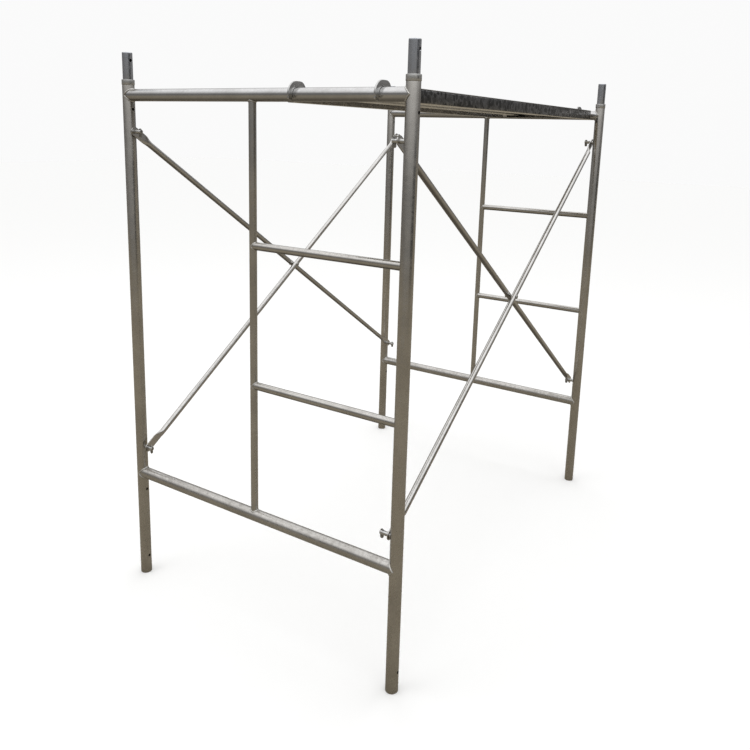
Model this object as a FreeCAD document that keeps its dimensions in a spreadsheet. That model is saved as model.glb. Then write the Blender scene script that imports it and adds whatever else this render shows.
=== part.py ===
import FreeCAD, Part
import os
import Sketcher
"""Frame scaffold section: two ladder frames, two cross-brace pairs, four coupling pins and one catwalk.

Millimetres, +Z up, X across the frames, Y from the front frame to the rear one. The origin is on the
ground in the middle of the section. Every size is a cell of the sheet "Sizes", and every primitive,
sketch and placement is bound to it, so a size changed there changes the whole section.
"""

SIZES = {
    # ladder frames
    "frame_pitch": 1176.3,        # between the two leg axes of a frame
    "bay_length": 1829.0,         # between the two frames
    "leg_height": 1930.0,
    "leg_radius": 21.35,
    "bar_radius": 21.35,
    "bar_wall": 2.9,
    "top_bar_drop": 35.0,         # top bar's axis below the rim of the legs
    "bottom_bar_level": 437.0,
    "upright_radius": 12.7,
    "upright_wall": 2.0,
    "rung_radius": 13.6,
    "rung_wall": 2.3,
    "weld_gap": 0.1,
    "lock_hole": 5.5,             # radius of the holes that take a locking pin
    "foot_hole_level": 75.0,
    "side_hole_level": 367.0,
    # brace studs and their gravity latches
    "stud_level": 548.0,
    "stud_drop": 163.0,           # upper stud below the rim of the legs
    "stud_radius": 7.5,
    "stud_reach": 40.0,           # from the skin of the leg
    "slot_start": 20.5,
    "slot_clearance": 0.4,
    "pivot_reach": 34.0,
    "pivot_radius": 2.2,
    "pivot_press": 0.05,
    "pivot_clearance": 0.4,
    "pivot_inset": 0.1,
    "latch_thickness": 4.0,
    "latch_width": 12.0,
    "latch_above": 12.0,
    "latch_below": 20.0,
    # cross braces
    "brace_radius": 10.85,
    "brace_wall": 2.0,
    "brace_gap": 0.5,             # between the two tubes where they cross
    "paddle_width": 33.0,
    "paddle_thickness": 3.6,
    "paddle_length": 45.0,
    "taper_length": 40.0,
    "eye_clearance": 0.5,
    "inner_paddle": 5.3,          # middle of the paddle beside the leg to the skin of the leg
    "outer_paddle": 16.5,         # the same for the other paddle on that stud
    "rivet_radius": 4.0,
    "rivet_clearance": 0.3,
    "rivet_head": 8.5,
    "rivet_face": 5.0,
    "rivet_head_height": 4.0,
    # coupling pins
    "pin_radius": 18.0,
    "pin_wall": 2.8,
    "pin_above": 92.0,
    "pin_below": 110.0,
    "pin_hole_inset": 26.0,
    "pin_chamfer": 2.0,
    "socket_clearance": 0.45,     # pin in the reamed end of a leg
    "socket_spare": 15.0,         # reamed depth beyond the end of the pin
    "ream_step": 0.3,             # reamed end wider than the tube's own bore
    "collar_wall": 4.2,
    "collar_clearance": 0.3,
    "collar_height": 19.0,
    "collar_seat": 0.3,
    "lip_height": 2.0,
    "lip_grip": 0.7,              # how far the lip reaches into the pin's groove
    # catwalk
    "deck_side_gap": 8.8,         # right rail to the skin of the right legs
    "deck_width": 452.0,
    "deck_rise": 0.65,            # tread above the top of the bars
    "deck_sheet": 2.0,
    "deck_setback": 46.0,         # end of the deck to the axis of the bar
    "rail_depth": 41.0,
    "rail_flange": 24.0,
    "rail_sheet": 2.5,
    "end_sheet": 3.0,
    "end_flange": 30.0,
    "end_depth": 36.0,
    "stiffener_width": 44.0,
    "stiffener_depth": 26.0,
    "stiffener_sheet": 1.8,
    "stiffener_margin": 32.0,     # outer stiffener to the flange of the rail
    "tread_hole": 7.0,
    "tread_pitch": 60.0,
    "tread_margin": 28.0,
    "hook_spacing": 310.0,
    "hook_thickness": 6.0,
    "hook_clearance": 0.6,
    "hook_band": 19.0,            # width of the plate around the bar
    "hook_flat": 17.0,            # level run behind the bar before the hook turns down
    "hook_lip": 10.0,             # how far the lip reaches below the bar's axis
    "hook_tail": 18.0,
    # what follows from the sizes above
    "brace_rise": "=leg_height - stud_drop - stud_level",
    "top_bar_level": "=leg_height - top_bar_drop",
    "lower_rung_level": "=bottom_bar_level + (top_bar_level - bottom_bar_level) / 3",
    "upper_rung_level": "=bottom_bar_level + (top_bar_level - bottom_bar_level) * 2 / 3",
    "socket_bore": "=pin_radius + socket_clearance",
    "socket_depth": "=pin_below + socket_spare",
    "leg_bore": "=socket_bore - ream_step",
    "lock_hole_level": "=leg_height - pin_below + pin_hole_inset",
    "bar_bore": "=bar_radius - bar_wall",
    "upright_bore": "=upright_radius - upright_wall",
    "rung_bore": "=rung_radius - rung_wall",
    "slot_width": "=latch_thickness + 2 * slot_clearance",
    "pivot_length": "=2 * (stud_radius - pivot_inset)",
    "pivot_hole": "=pivot_radius + pivot_press",
    "latch_hole": "=pivot_radius + pivot_clearance",
    "brace_bore": "=brace_radius - brace_wall",
    "brace_joggle": "=(2 * brace_radius + brace_gap - outer_paddle + inner_paddle) / 2",
    "eye_radius": "=stud_radius + eye_clearance",
    "rivet_hole": "=rivet_radius + rivet_clearance",
    "pin_bore": "=pin_radius - pin_wall",
    "collar_bore": "=pin_radius + collar_clearance",
    "collar_radius": "=collar_bore + collar_wall",
    "lip_bore": "=pin_radius - lip_grip",
    "groove_radius": "=lip_bore - collar_clearance",
    "deck_middle": "=frame_pitch / 2 - leg_radius - deck_side_gap - deck_width / 2",
    "deck_level": "=top_bar_level + bar_radius + deck_rise",
    "stiffener_pitch": "=deck_width / 2 - rail_flange - stiffener_width / 2 - stiffener_margin",
    "tread_row_pitch": "=stiffener_pitch / 2",
    "tread_count": "=floor((bay_length - 2 * deck_setback - 2 * tread_margin) / tread_pitch) + 1",
    "hook_inner": "=bar_radius + hook_clearance",
    "hook_outer": "=hook_inner + hook_band",
}

SIDES = {"left": -1, "right": 1}
ENDS = {"front": -1, "rear": 1}

doc = FreeCAD.newDocument("frame_scaffold_section")
os.makedirs("parts", exist_ok=True)
sheet = doc.addObject("Spreadsheet::Sheet", "Sizes")
for row, (alias, value) in enumerate(SIZES.items(), start=1):
    sheet.set(f"A{row}", alias)
    sheet.set(f"B{row}", str(value))
    sheet.setAlias(f"B{row}", alias)
doc.recompute()



def value(alias):
    """What the sheet works out for one of its words."""
    return float(getattr(sheet, alias))


finished = []                     # the sub-parts to export


class Size(str):
    """A formula written with the sheet's own words."""

    def __new__(cls, text):
        """Prefix each of the sheet's words in text, longest first so no word is cut short."""
        out, word = "", ""
        for letter in text + " ":
            if letter.isalnum() or letter == "_":
                word += letter
                continue
            out += (f"Sizes.{word}" if word in SIZES else word) + letter
            word = ""
        return super().__new__(cls, out.strip())


def bind(obj, **formulas):
    """Bind properties of obj to the sheet; two underscores stand for a dot in a property's path."""
    for name, text in formulas.items():
        obj.setExpression(name.replace("__", "."), Size(str(text)))
    return obj


def place(obj, x=0, y=0, z=0):
    """Bind where obj stands."""
    return bind(obj, Placement__Base__x=x, Placement__Base__y=y, Placement__Base__z=z)


AXES = {
    "X": (FreeCAD.Vector(0, 1, 0), 90),
    "Y": (FreeCAD.Vector(1, 0, 0), -90),
    "Z": (FreeCAD.Vector(0, 0, 1), 0),
}


def turn(obj, axis, degrees):
    """Turn obj about an axis through its own origin."""
    obj.Placement = FreeCAD.Placement(FreeCAD.Vector(0, 0, 0), FreeCAD.Rotation(axis, degrees))


def rod(name, radius, length, axis="Z", x=0, y=0, z=0):
    """A cylinder that starts at (x, y, z) and runs along +axis."""
    obj = doc.addObject("Part::Cylinder", name)
    turn(obj, *AXES[axis])
    bind(obj, Radius=radius, Height=length)
    return place(obj, x, y, z)


def block(name, size, corner):
    """A box with the given sizes and low corner."""
    obj = doc.addObject("Part::Box", name)
    bind(obj, Length=size[0], Width=size[1], Height=size[2])
    return place(obj, *corner)


def cone(name, radius_low, radius_high, length, axis="Z", x=0, y=0, z=0):
    """A tapered rod that starts at (x, y, z) and runs along +axis."""
    obj = doc.addObject("Part::Cone", name)
    turn(obj, *AXES[axis])
    bind(obj, Radius1=radius_low, Radius2=radius_high, Height=length)
    return place(obj, x, y, z)


def join(name, *shapes):
    """The union of shapes."""
    if len(shapes) == 1:
        return shapes[0]
    obj = doc.addObject("Part::MultiFuse", name)
    obj.Shapes = list(shapes)
    return obj


def cut(name, base, *tools):
    """base without tools."""
    obj = doc.addObject("Part::Cut", name)
    obj.Base, obj.Tool = base, join(name + "_tools", *tools)
    return obj


def finish(obj, label, x=0, y=0, z=0):
    """Name a finished sub-part, put it in its place and list it for export."""
    obj.Label = label
    place(obj, x, y, z)
    finished.append(obj)
    return obj


def mirrored(side, text):
    """text with the sign of the side of the section that it is on."""
    return f"({text})" if side > 0 else f"-({text})"


def leg_axis(end, side):
    """Where the axis of a leg stands."""
    return dict(x=mirrored(SIDES[side], "frame_pitch / 2"), y=mirrored(ENDS[end], "bay_length / 2"))


# ---------------------------------------------------------------- ladder frames


def leg(end, side):
    """An upright tube with reamed ends and its locking-pin holes."""
    name = f"{end}_{side}_leg"
    tube = rod(name + "_tube", "leg_radius", "leg_height")
    inward = -SIDES[side]
    side_hole_start = "0" if inward > 0 else "-2 * leg_radius"
    across = "4 * leg_radius"
    body = cut(
        name, tube,
        rod(name + "_bore", "leg_bore", "leg_height + 2", z="-1"),
        rod(name + "_foot_socket", "socket_bore", "socket_depth + 1", z="-1"),
        rod(name + "_top_socket", "socket_bore", "socket_depth + 1", z="leg_height - socket_depth"),
        rod(name + "_lock_hole", "lock_hole", across, "X", x=f"-{across} / 2", z="lock_hole_level"),
        rod(name + "_foot_hole", "lock_hole", across, "X", x=f"-{across} / 2", z="foot_hole_level"),
        rod(name + "_side_hole", "lock_hole", "2 * leg_radius", "X", x=side_hole_start, z="side_hole_level"),
    )
    return finish(body, name, **leg_axis(end, side))


def crossbar(end, level_name, level):
    """A bar from leg to leg, coped to both."""
    name = f"{end}_{level_name}_bar"
    length = "frame_pitch - 2 * leg_bore"
    tube = rod(name + "_tube", "bar_radius", length, "X", x="-frame_pitch / 2 + leg_bore")
    bore = rod(name + "_bore", "bar_bore", "frame_pitch", "X", x="-frame_pitch / 2")
    copes = [
        rod(f"{name}_{side}_cope", "leg_radius + weld_gap", "4 * bar_radius",
            x=mirrored(sign, "frame_pitch / 2"), z="-2 * bar_radius")
        for side, sign in SIDES.items()
    ]
    return finish(cut(name, tube, bore, *copes), name, y=mirrored(ENDS[end], "bay_length / 2"), z=level)


def inner_upright(end):
    """The upright in the middle of a frame, coped to the top and bottom bars."""
    name = f"{end}_inner_upright"
    rise = "top_bar_level - bottom_bar_level"
    tube = rod(name + "_tube", "upright_radius", rise)
    bore = rod(name + "_bore", "upright_bore", f"{rise} + 2", z="-1")
    copes = [
        rod(f"{name}_{place_name}_cope", "bar_radius + weld_gap", "4 * bar_radius", "X",
            x="-2 * bar_radius", z=level)
        for place_name, level in (("low", "0"), ("high", rise))
    ]
    body = cut(name, tube, bore, *copes)
    return finish(body, name, y=mirrored(ENDS[end], "bay_length / 2"), z="bottom_bar_level")


def rung(end, level_name, level):
    """A rung from the inner upright to the right leg, coped to both."""
    name = f"{end}_{level_name}_rung"
    tube = rod(name + "_tube", "rung_radius", "frame_pitch / 2", "X")
    bore = rod(name + "_bore", "rung_bore", "frame_pitch / 2 + 2", "X", x="-1")
    copes = [
        rod(name + "_inner_cope", "upright_radius + weld_gap", "4 * rung_radius", z="-2 * rung_radius"),
        rod(name + "_outer_cope", "leg_radius + weld_gap", "4 * rung_radius",
            x="frame_pitch / 2", z="-2 * rung_radius"),
    ]
    return finish(cut(name, tube, bore, *copes), name, y=mirrored(ENDS[end], "bay_length / 2"), z=level)


# ---------------------------------------------------------------- brace studs and gravity latches


def stud(name, sign, level):
    """A slotted stud that points inward from a leg, around the leg's own axis."""
    reach = "leg_radius + stud_reach"
    start = "0" if sign < 0 else f"-({reach})"
    slot_start = "leg_radius + slot_start" if sign < 0 else f"-({reach} + 1)"
    body = rod(name + "_rod", "stud_radius", reach, "X", x=start, z=level)
    return cut(
        name, body,
        rod(name + "_cope", "leg_radius + weld_gap", "4 * stud_radius", z=f"{level} - 2 * stud_radius"),
        block(name + "_slot", ("stud_reach - slot_start + 1", "slot_width", "4 * stud_radius"),
              (slot_start, "-slot_width / 2", f"{level} - 2 * stud_radius")),
        rod(name + "_pivot_hole", "pivot_hole", "4 * stud_radius", "Y",
            x=mirrored(-sign, "leg_radius + pivot_reach"), y="-2 * stud_radius", z=level),
    )


def leg_hardware(end, side):
    """The two studs of a leg, their two pivot rivets and their two latches."""
    sign, where = SIDES[side], leg_axis(end, side)
    name = f"{end}_{side}"
    pivot_x = mirrored(-sign, "leg_radius + pivot_reach")
    levels = {"lower": "stud_level", "upper": "stud_level + brace_rise"}
    studs = [stud(f"{name}_{level_name}_stud", sign, level) for level_name, level in levels.items()]
    finish(join(f"{name}_studs", *studs), f"{name}_studs", **where)
    rivets = [
        rod(f"{name}_{level_name}_pivot", "pivot_radius", "pivot_length", "Y",
            pivot_x, "-pivot_length / 2", level)
        for level_name, level in levels.items()
    ]
    finish(join(f"{name}_pivots", *rivets), f"{name}_pivots", **where)
    for level_name, level in levels.items():
        latch(f"{name}_{level_name}_latch", f"{where['x']} + {pivot_x}", where["y"], level)


def latch(name, x, y, z):
    """A rounded toggle that hangs across its stud, with its origin on the pivot."""
    low, high = "-(latch_below - latch_width / 2)", "latch_above - latch_width / 2"
    side = "-latch_thickness / 2"
    toggle = join(
        name + "_toggle",
        block(name + "_bar", ("latch_width", "latch_thickness", "latch_below + latch_above - latch_width"),
              ("-latch_width / 2", side, low)),
        rod(name + "_low_end", "latch_width / 2", "latch_thickness", "Y", y=side, z=low),
        rod(name + "_high_end", "latch_width / 2", "latch_thickness", "Y", y=side, z=high),
    )
    hole = rod(name + "_hole", "latch_hole", "2 * latch_thickness", "Y", y="-latch_thickness")
    return finish(cut(name, toggle, hole), name, x, y, z)


# ---------------------------------------------------------------- cross braces


def ring(name, kind, radii, x, z):
    """A circle or an ellipse across the brace, with its seam on +Y so that two of them loft straight."""
    obj = doc.addObject(kind, name)
    turn(obj, FreeCAD.Vector(0, 0, 1), 90)
    bind(obj, **radii)
    return place(obj, x, "0", z)


def paddle_end(name, joggle, low):
    """The flattened end of a brace: an eye, a paddle and the taper up to the round tube."""
    thick = "-paddle_thickness / 2"
    if low:
        eye, paddle, narrow, wide = "0", "0", "paddle_length", "paddle_length + taper_length"
    else:
        span = "sqrt(bay_length ^ 2 + brace_rise ^ 2)"
        eye, paddle = span, f"{span} - paddle_length"
        narrow, wide = paddle, f"{span} - paddle_length - taper_length"
    taper = doc.addObject("Part::Loft", name + "_taper")
    taper.Sections = [
        ring(name + "_narrow", "Part::Ellipse",
             dict(MajorRadius="paddle_width / 2", MinorRadius="paddle_thickness / 2"), "0", narrow),
        ring(name + "_wide", "Part::Circle", dict(Radius="brace_radius"), joggle, wide),
    ]
    taper.Solid, taper.Ruled = True, True
    return [
        rod(name + "_eye", "paddle_width / 2", "paddle_thickness", "X", thick, "0", eye),
        block(name + "_paddle", ("paddle_thickness", "paddle_width", "paddle_length"),
              (thick, "-paddle_width / 2", paddle)),
        taper,
    ]


def brace(side, label, rising):
    """One tube of a cross-brace pair, along its own Z from its low eye to its high one.

    The two pairs are alike, not mirrored: the first brace is the one further to the right in both.
    """
    name = f"{side}_{label}_brace"
    inward = -SIDES[side]
    beside_leg = (label == "first") == (side == "right")
    span = "sqrt(bay_length ^ 2 + brace_rise ^ 2)"
    joggle = mirrored(-inward if beside_leg else inward, "brace_joggle")
    start = "paddle_length + taper_length"
    tube = cut(
        name + "_tube",
        rod(name + "_skin", "brace_radius", f"{span} - 2 * ({start})", x=joggle, z=start),
        rod(name + "_bore", "brace_bore", f"{span} - 2 * ({start})", x=joggle, z=start),
    )
    ends = paddle_end(name + "_low", joggle, True) + paddle_end(name + "_high", joggle, False)
    solid = join(name + "_solid", tube, *ends)
    across, middle = "-2 * brace_radius", f"{span} / 2"
    body = cut(
        name, solid,
        rod(name + "_low_hole", "eye_radius", "4 * brace_radius", "X", across),
        rod(name + "_high_hole", "eye_radius", "4 * brace_radius", "X", across, "0", span),
        rod(name + "_rivet_hole", "rivet_hole", "6 * brace_radius", "X", "-3 * brace_radius", "0", middle),
    )
    turn(body, FreeCAD.Vector(-rising, 0, 0), 1)
    bind(body, Placement__Rotation__Angle="atan(bay_length / brace_rise)")
    paddle = "inner_paddle" if beside_leg else "outer_paddle"
    x = mirrored(-inward, f"frame_pitch / 2 - leg_radius - {paddle}")
    return finish(body, name, x, mirrored(-rising, "bay_length / 2"), "stud_level")


def brace_pair(side):
    """Two braces that cross at mid-bay and the rivet that holds them together."""
    brace(side, "first", 1)
    brace(side, "second", -1)
    name, sign = f"{side}_brace_rivet", SIDES[side]
    grip = "outer_paddle - inner_paddle + 2 * brace_joggle + 2 * brace_radius + 2 * weld_gap"
    low = "0" if sign < 0 else f"-({grip})"
    high, tip = f"{grip}" if sign < 0 else "0", f"{low} - rivet_head_height"
    body = join(
        name,
        rod(name + "_shank", "rivet_radius", f"{grip} + 2 * rivet_head_height", "X", x=tip),
        cone(name + "_low_head", "rivet_face", "rivet_head", "rivet_head_height", "X", x=tip),
        cone(name + "_high_head", "rivet_head", "rivet_face", "rivet_head_height", "X", x=high),
    )
    outer = "frame_pitch / 2 - leg_radius - inner_paddle + brace_joggle + brace_radius + weld_gap"
    return finish(body, name, x=mirrored(sign, outer), z="stud_level + brace_rise / 2")


# ---------------------------------------------------------------- coupling pins


def coupling_pin(end, side):
    """A tube that stands in the top of a leg, with its origin at the leg's rim."""
    name = f"{end}_{side}_coupling_pin"
    top = "collar_height + collar_seat + pin_above"
    groove = "collar_height + collar_seat - lip_height - collar_clearance"
    tube = join(
        name + "_skin",
        rod(name + "_lower", "pin_radius", f"pin_below + {groove}", z="-pin_below"),
        rod(name + "_groove", "groove_radius", "lip_height + 2 * collar_clearance", z=groove),
        rod(name + "_upper", "pin_radius", f"{top} - ({groove}) - lip_height - 0.6 - pin_chamfer",
            z=f"{groove} + lip_height + 2 * collar_clearance"),
        cone(name + "_tip", "pin_radius", "pin_radius - pin_chamfer", "pin_chamfer",
             z=f"{top} - pin_chamfer"),
    )
    body = cut(
        name, tube,
        rod(name + "_bore", "pin_bore", f"pin_below + {top} + 2", z="-pin_below - 1"),
        rod(name + "_low_hole", "lock_hole", "4 * pin_radius", "X",
            x="-2 * pin_radius", z="pin_hole_inset - pin_below"),
        rod(name + "_high_hole", "lock_hole", "4 * pin_radius", "X",
            x="-2 * pin_radius", z=f"{top} - pin_hole_inset"),
    )
    where = leg_axis(end, side)
    finish(body, name, z="leg_height", **where)
    return collar(end, side, where)


def collar(end, side, where):
    """The stop ring that rests on the leg's rim, with a lip closed into the pin's groove."""
    name = f"{end}_{side}_collar"
    ring_body = cut(
        name,
        rod(name + "_ring", "collar_radius", "collar_height", z="collar_seat"),
        rod(name + "_bore", "collar_bore", "collar_height - lip_height", z="collar_seat"),
        rod(name + "_lip", "lip_bore", "collar_height + 2"),
    )
    return finish(ring_body, name, z="leg_height", **where)


# ---------------------------------------------------------------- catwalk


def channel(name, size, web, flange_gap, corner, opening):
    """A channel section: a box without its hollow, open towards +axis or -axis, given as 'X+' and so on."""
    axis, sign = "XY".index(opening[0]), opening[1]
    hollow_size, hollow_corner = list(size), list(corner)
    hollow_size[2], hollow_corner[2] = f"{size[2]} - 2 * {flange_gap}", f"{corner[2]} + {flange_gap}"
    if sign == "+":
        hollow_corner[axis] = f"{corner[axis]} + {web}"
    else:
        hollow_corner[axis] = f"{corner[axis]} - {web}"
    along = 1 - axis
    hollow_size[along], hollow_corner[along] = f"{size[along]} + 2", f"{corner[along]} - 1"
    hollow = block(name + "_hollow", hollow_size, hollow_corner)
    return cut(name, block(name + "_block", size, corner), hollow)


def deck():
    """The tread sheet, with rows of round holes along the bay."""
    body = doc.addObject("PartDesign::Body", "deck")
    features = body.Origin.OriginFeatures
    outline = body.newObject("Sketcher::SketchObject", "deck_outline")
    outline.AttachmentSupport, outline.MapMode = (features[3], [""]), "FlatFace"
    corners = [FreeCAD.Vector(x, y, 0) for x, y in ((-200, -800), (200, -800), (200, 800), (-200, 800))]
    sides = [outline.addGeometry(Part.LineSegment(a, b)) for a, b in zip(corners, corners[1:] + corners[:1])]
    for first, second in zip(sides, sides[1:] + sides[:1]):
        outline.addConstraint(Sketcher.Constraint("Coincident", first, 2, second, 1))
    for line, kind in zip(sides, ("Horizontal", "Vertical", "Horizontal", "Vertical")):
        outline.addConstraint(Sketcher.Constraint(kind, line))
    outline.addConstraint(Sketcher.Constraint("Symmetric", sides[0], 1, sides[2], 1, -1, 1))
    for line, alias, start, formula in (
        (sides[0], "width", 400.0, "deck_width"),
        (sides[1], "length", 1600.0, "bay_length - 2 * deck_setback"),
    ):
        at = outline.addConstraint(Sketcher.Constraint("Distance", line, start))
        outline.renameConstraint(at, alias)
        outline.setExpression(f"Constraints.{alias}", Size(formula))
    plate = body.newObject("PartDesign::Pad", "deck_plate")
    plate.Profile = outline
    bind(plate, Length="deck_sheet")
    holes = body.newObject("Sketcher::SketchObject", "deck_holes")
    holes.AttachmentSupport, holes.MapMode = (features[3], [""]), "FlatFace"
    first_row = "(tread_count - 1) / 2 * tread_pitch"
    for index, step in enumerate((-2.5, -1.5, -0.5, 0.5, 1.5, 2.5)):
        centre = FreeCAD.Vector(step * value("tread_row_pitch"),
                                (1 - value("tread_count")) / 2 * value("tread_pitch"), 0)
        circle = holes.addGeometry(Part.Circle(centre, FreeCAD.Vector(0, 0, 1), value("tread_hole")))
        across = abs(step)
        for kind, alias, start, formula in (
            ("DistanceX", f"across{index}", abs(centre.x), f"{across} * tread_row_pitch"),
            ("DistanceY", f"along{index}", abs(centre.y), first_row),
        ):
            ends = (circle, 3, -1, 1) if kind == "DistanceY" or step < 0 else (-1, 1, circle, 3)
            at = holes.addConstraint(Sketcher.Constraint(kind, *ends, start))
            holes.renameConstraint(at, alias)
            holes.setExpression(f"Constraints.{alias}", Size(formula))
        at = holes.addConstraint(Sketcher.Constraint("Radius", circle, value("tread_hole")))
        holes.renameConstraint(at, f"radius{index}")
        holes.setExpression(f"Constraints.radius{index}", Size("tread_hole"))
    row = body.newObject("PartDesign::Pocket", "deck_hole_row")
    row.Profile, row.Type, row.Midplane = holes, "ThroughAll", True
    rows = body.newObject("PartDesign::LinearPattern", "deck_hole_rows")
    rows.Originals, rows.Direction = [row], (features[1], [""])
    bind(rows, Length="(tread_count - 1) * tread_pitch", Occurrences="tread_count")
    body.Tip = rows
    return finish(body, "deck", x="deck_middle", z="deck_level - deck_sheet")


def catwalk_frame():
    """The two side rails, the two end channels and the three stiffeners under the deck."""
    length = "bay_length - 2 * deck_setback"
    below_deck = "deck_level - deck_sheet - weld_gap"
    for side, sign in SIDES.items():
        name = f"{side}_rail"
        corner_x = "0" if sign < 0 else "-rail_flange"
        body = channel(name, ["rail_flange", length, "rail_depth"], "rail_sheet", "rail_sheet",
                       [corner_x, f"-({length}) / 2", "0"], "X+" if sign < 0 else "X-")
        outer = mirrored(sign, "deck_width / 2")
        finish(body, name, x=f"deck_middle + {outer}", z=f"{below_deck} - rail_depth")
    inside = "deck_width - 2 * rail_flange - 2 * weld_gap"
    for end, sign in ENDS.items():
        name = f"{end}_end_channel"
        corner_y = "0" if sign < 0 else "-end_flange"
        body = channel(name, [inside, "end_flange", "end_depth"], "end_sheet", "end_sheet",
                       [f"-({inside}) / 2", corner_y, "0"], "Y+" if sign < 0 else "Y-")
        outer = mirrored(sign, f"({length}) / 2")
        finish(body, name, x="deck_middle", y=outer, z=f"{below_deck} - end_depth")
    run = f"{length} - 2 * end_flange - 2 * weld_gap"
    for label, step in (("left", -1), ("middle", 0), ("right", 1)):
        name = f"{label}_stiffener"
        body = cut(
            name,
            block(name + "_block", ("stiffener_width", run, "stiffener_depth"),
                  ("-stiffener_width / 2", f"-({run}) / 2", "0")),
            block(name + "_hollow", ("stiffener_width - 2 * stiffener_sheet", f"{run} + 2",
                                     "stiffener_depth - stiffener_sheet"),
                  ("-stiffener_width / 2 + stiffener_sheet", f"-({run}) / 2 - 1", "stiffener_sheet + 0")),
        )
        finish(body, name, x=f"deck_middle + {step} * stiffener_pitch", z=f"{below_deck} - stiffener_depth")


def hook(end, side):
    """A plate hook over a top bar, with its origin on the bar's axis and its tail on the end channel."""
    name, sign = f"{end}_{side}_hook", ENDS[end]
    half, thick = "-hook_thickness / 2", "hook_thickness"
    reach = "deck_setback - weld_gap"
    bend = "(deck_setback - weld_gap - hook_flat)"           # radius where the hook turns down
    wide, long = "3 * hook_thickness", "2 * hook_outer"

    def toward_bay(low, width):
        """The low Y of a box that starts low from the bar's axis on the deck's side."""
        return f"({low})" if sign < 0 else f"-({low}) - ({width})"

    def bay_block(part_name, low, width, floor, height):
        return block(f"{name}_{part_name}", (thick, width, height), (half, toward_bay(low, width), floor))

    plate = join(
        name + "_plate",
        rod(name + "_arch", "hook_outer", thick, "X", half),
        bay_block("web", "0", reach, "-hook_tail", f"hook_tail + hook_outer - {bend}"),
        bay_block("crown", "0", "hook_flat", "0", "hook_outer"),
        rod(name + "_shoulder", bend, thick, "X", half,
            mirrored(-sign, "hook_flat"), f"hook_outer - {bend}"),
    )
    lip_middle, lip_radius = "(hook_outer + hook_inner) / 2", "(hook_outer - hook_inner) / 2"
    body = join(
        name + "_body",
        cut(
            name + "_mouth", plate,
            rod(name + "_seat", "hook_inner", wide, "X", f"-({wide}) / 2"),
            block(name + "_throat", (wide, "2 * hook_inner", long),
                  (f"-({wide}) / 2", "-hook_inner", f"-{long}")),
            block(name + "_front", (wide, long, long),
                  (f"-({wide}) / 2", toward_bay(f"-{long}", long), f"-hook_lip - {long}")),
            block(name + "_below", (wide, long, long),
                  (f"-({wide}) / 2", toward_bay("0", long), f"-hook_tail - {long}")),
        ),
        rod(name + "_lip", lip_radius, thick, "X", half, mirrored(sign, f"{lip_middle} - 0.4"), "-hook_lip"),
    )
    finish(body, name, x=f"deck_middle + {mirrored(SIDES[side], 'hook_spacing / 2')}",
           y=mirrored(sign, "bay_length / 2"), z="top_bar_level")


for end_name in ENDS:
    for side_name in SIDES:
        leg(end_name, side_name)
        leg_hardware(end_name, side_name)
        coupling_pin(end_name, side_name)
        hook(end_name, side_name)
    crossbar(end_name, "top", "top_bar_level")
    crossbar(end_name, "bottom", "bottom_bar_level")
    inner_upright(end_name)
    rung(end_name, "lower", "lower_rung_level")
    rung(end_name, "upper", "upper_rung_level")
for side_name in SIDES:
    brace_pair(side_name)
deck()
catwalk_frame()

doc.recompute()
for obj in doc.Objects:
    if "Invalid" in obj.State or "Error" in obj.State:
        raise RuntimeError(f"{obj.Name} did not compute: {obj.State}")
for obj in finished:
    if obj.Shape.isNull() or not obj.Shape.isValid():
        raise RuntimeError(f"{obj.Label} has no valid shape")
    obj.Shape.exportStep(f"parts/{obj.Label}.step")
print(len(finished), "parts written")
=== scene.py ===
import logging
import math
from collections.abc import Callable, Iterable
from dataclasses import dataclass, field
from enum import Enum

import bmesh
import bpy
from mathutils import Euler, Matrix, Vector


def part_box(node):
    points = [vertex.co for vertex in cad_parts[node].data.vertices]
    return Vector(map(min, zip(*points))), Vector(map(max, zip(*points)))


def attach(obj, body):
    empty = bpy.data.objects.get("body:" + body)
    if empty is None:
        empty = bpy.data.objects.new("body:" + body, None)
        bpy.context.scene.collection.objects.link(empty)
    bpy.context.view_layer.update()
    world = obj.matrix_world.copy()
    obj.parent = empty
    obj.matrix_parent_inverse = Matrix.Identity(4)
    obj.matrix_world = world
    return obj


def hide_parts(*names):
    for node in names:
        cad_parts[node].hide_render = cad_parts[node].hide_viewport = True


# Looks of a frame scaffold section: two ladder frames, two pairs of crossed braces with their studs
# and gravity latches, four coupling pins with collars, and one perforated catwalk on plate hooks.
# Metres, +Z up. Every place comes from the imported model's own boxes.

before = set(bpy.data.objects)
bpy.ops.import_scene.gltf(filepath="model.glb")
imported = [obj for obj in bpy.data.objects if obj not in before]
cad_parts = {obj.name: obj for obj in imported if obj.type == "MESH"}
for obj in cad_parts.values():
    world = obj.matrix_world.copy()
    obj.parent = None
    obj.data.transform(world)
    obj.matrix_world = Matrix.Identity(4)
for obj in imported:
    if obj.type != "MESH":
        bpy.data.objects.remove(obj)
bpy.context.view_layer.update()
LOG = logging.getLogger("scaffold")
MM = 0.001
NEAR = 1e-5
SAME = 1e-6
RIGHTWARD, UP = Vector((1, 0, 0)), Vector((0, 0, 1))
Rgb = tuple[float, float, float]
Rgba = tuple[float, float, float, float]
Place = tuple[float, float, float]


class End(Enum):
    """The two ladder frames of the section."""

    FRONT = "front"
    REAR = "rear"


class Side(Enum):
    """The two sides of the section."""

    LEFT = "left"
    RIGHT = "right"


class Level(Enum):
    """The two heights at which a leg carries a brace stud."""

    LOWER = "lower"
    UPPER = "upper"


class Pick(Enum):
    """What is selected in edit mode."""

    VERTICES = "VERT"
    EDGES = "EDGE"
    FACES = "FACE"


def corners() -> Iterable[str]:
    """The starts of the names of what sits at the four legs."""
    return (f"{end.value}_{side.value}" for end in End for side in Side)


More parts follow.
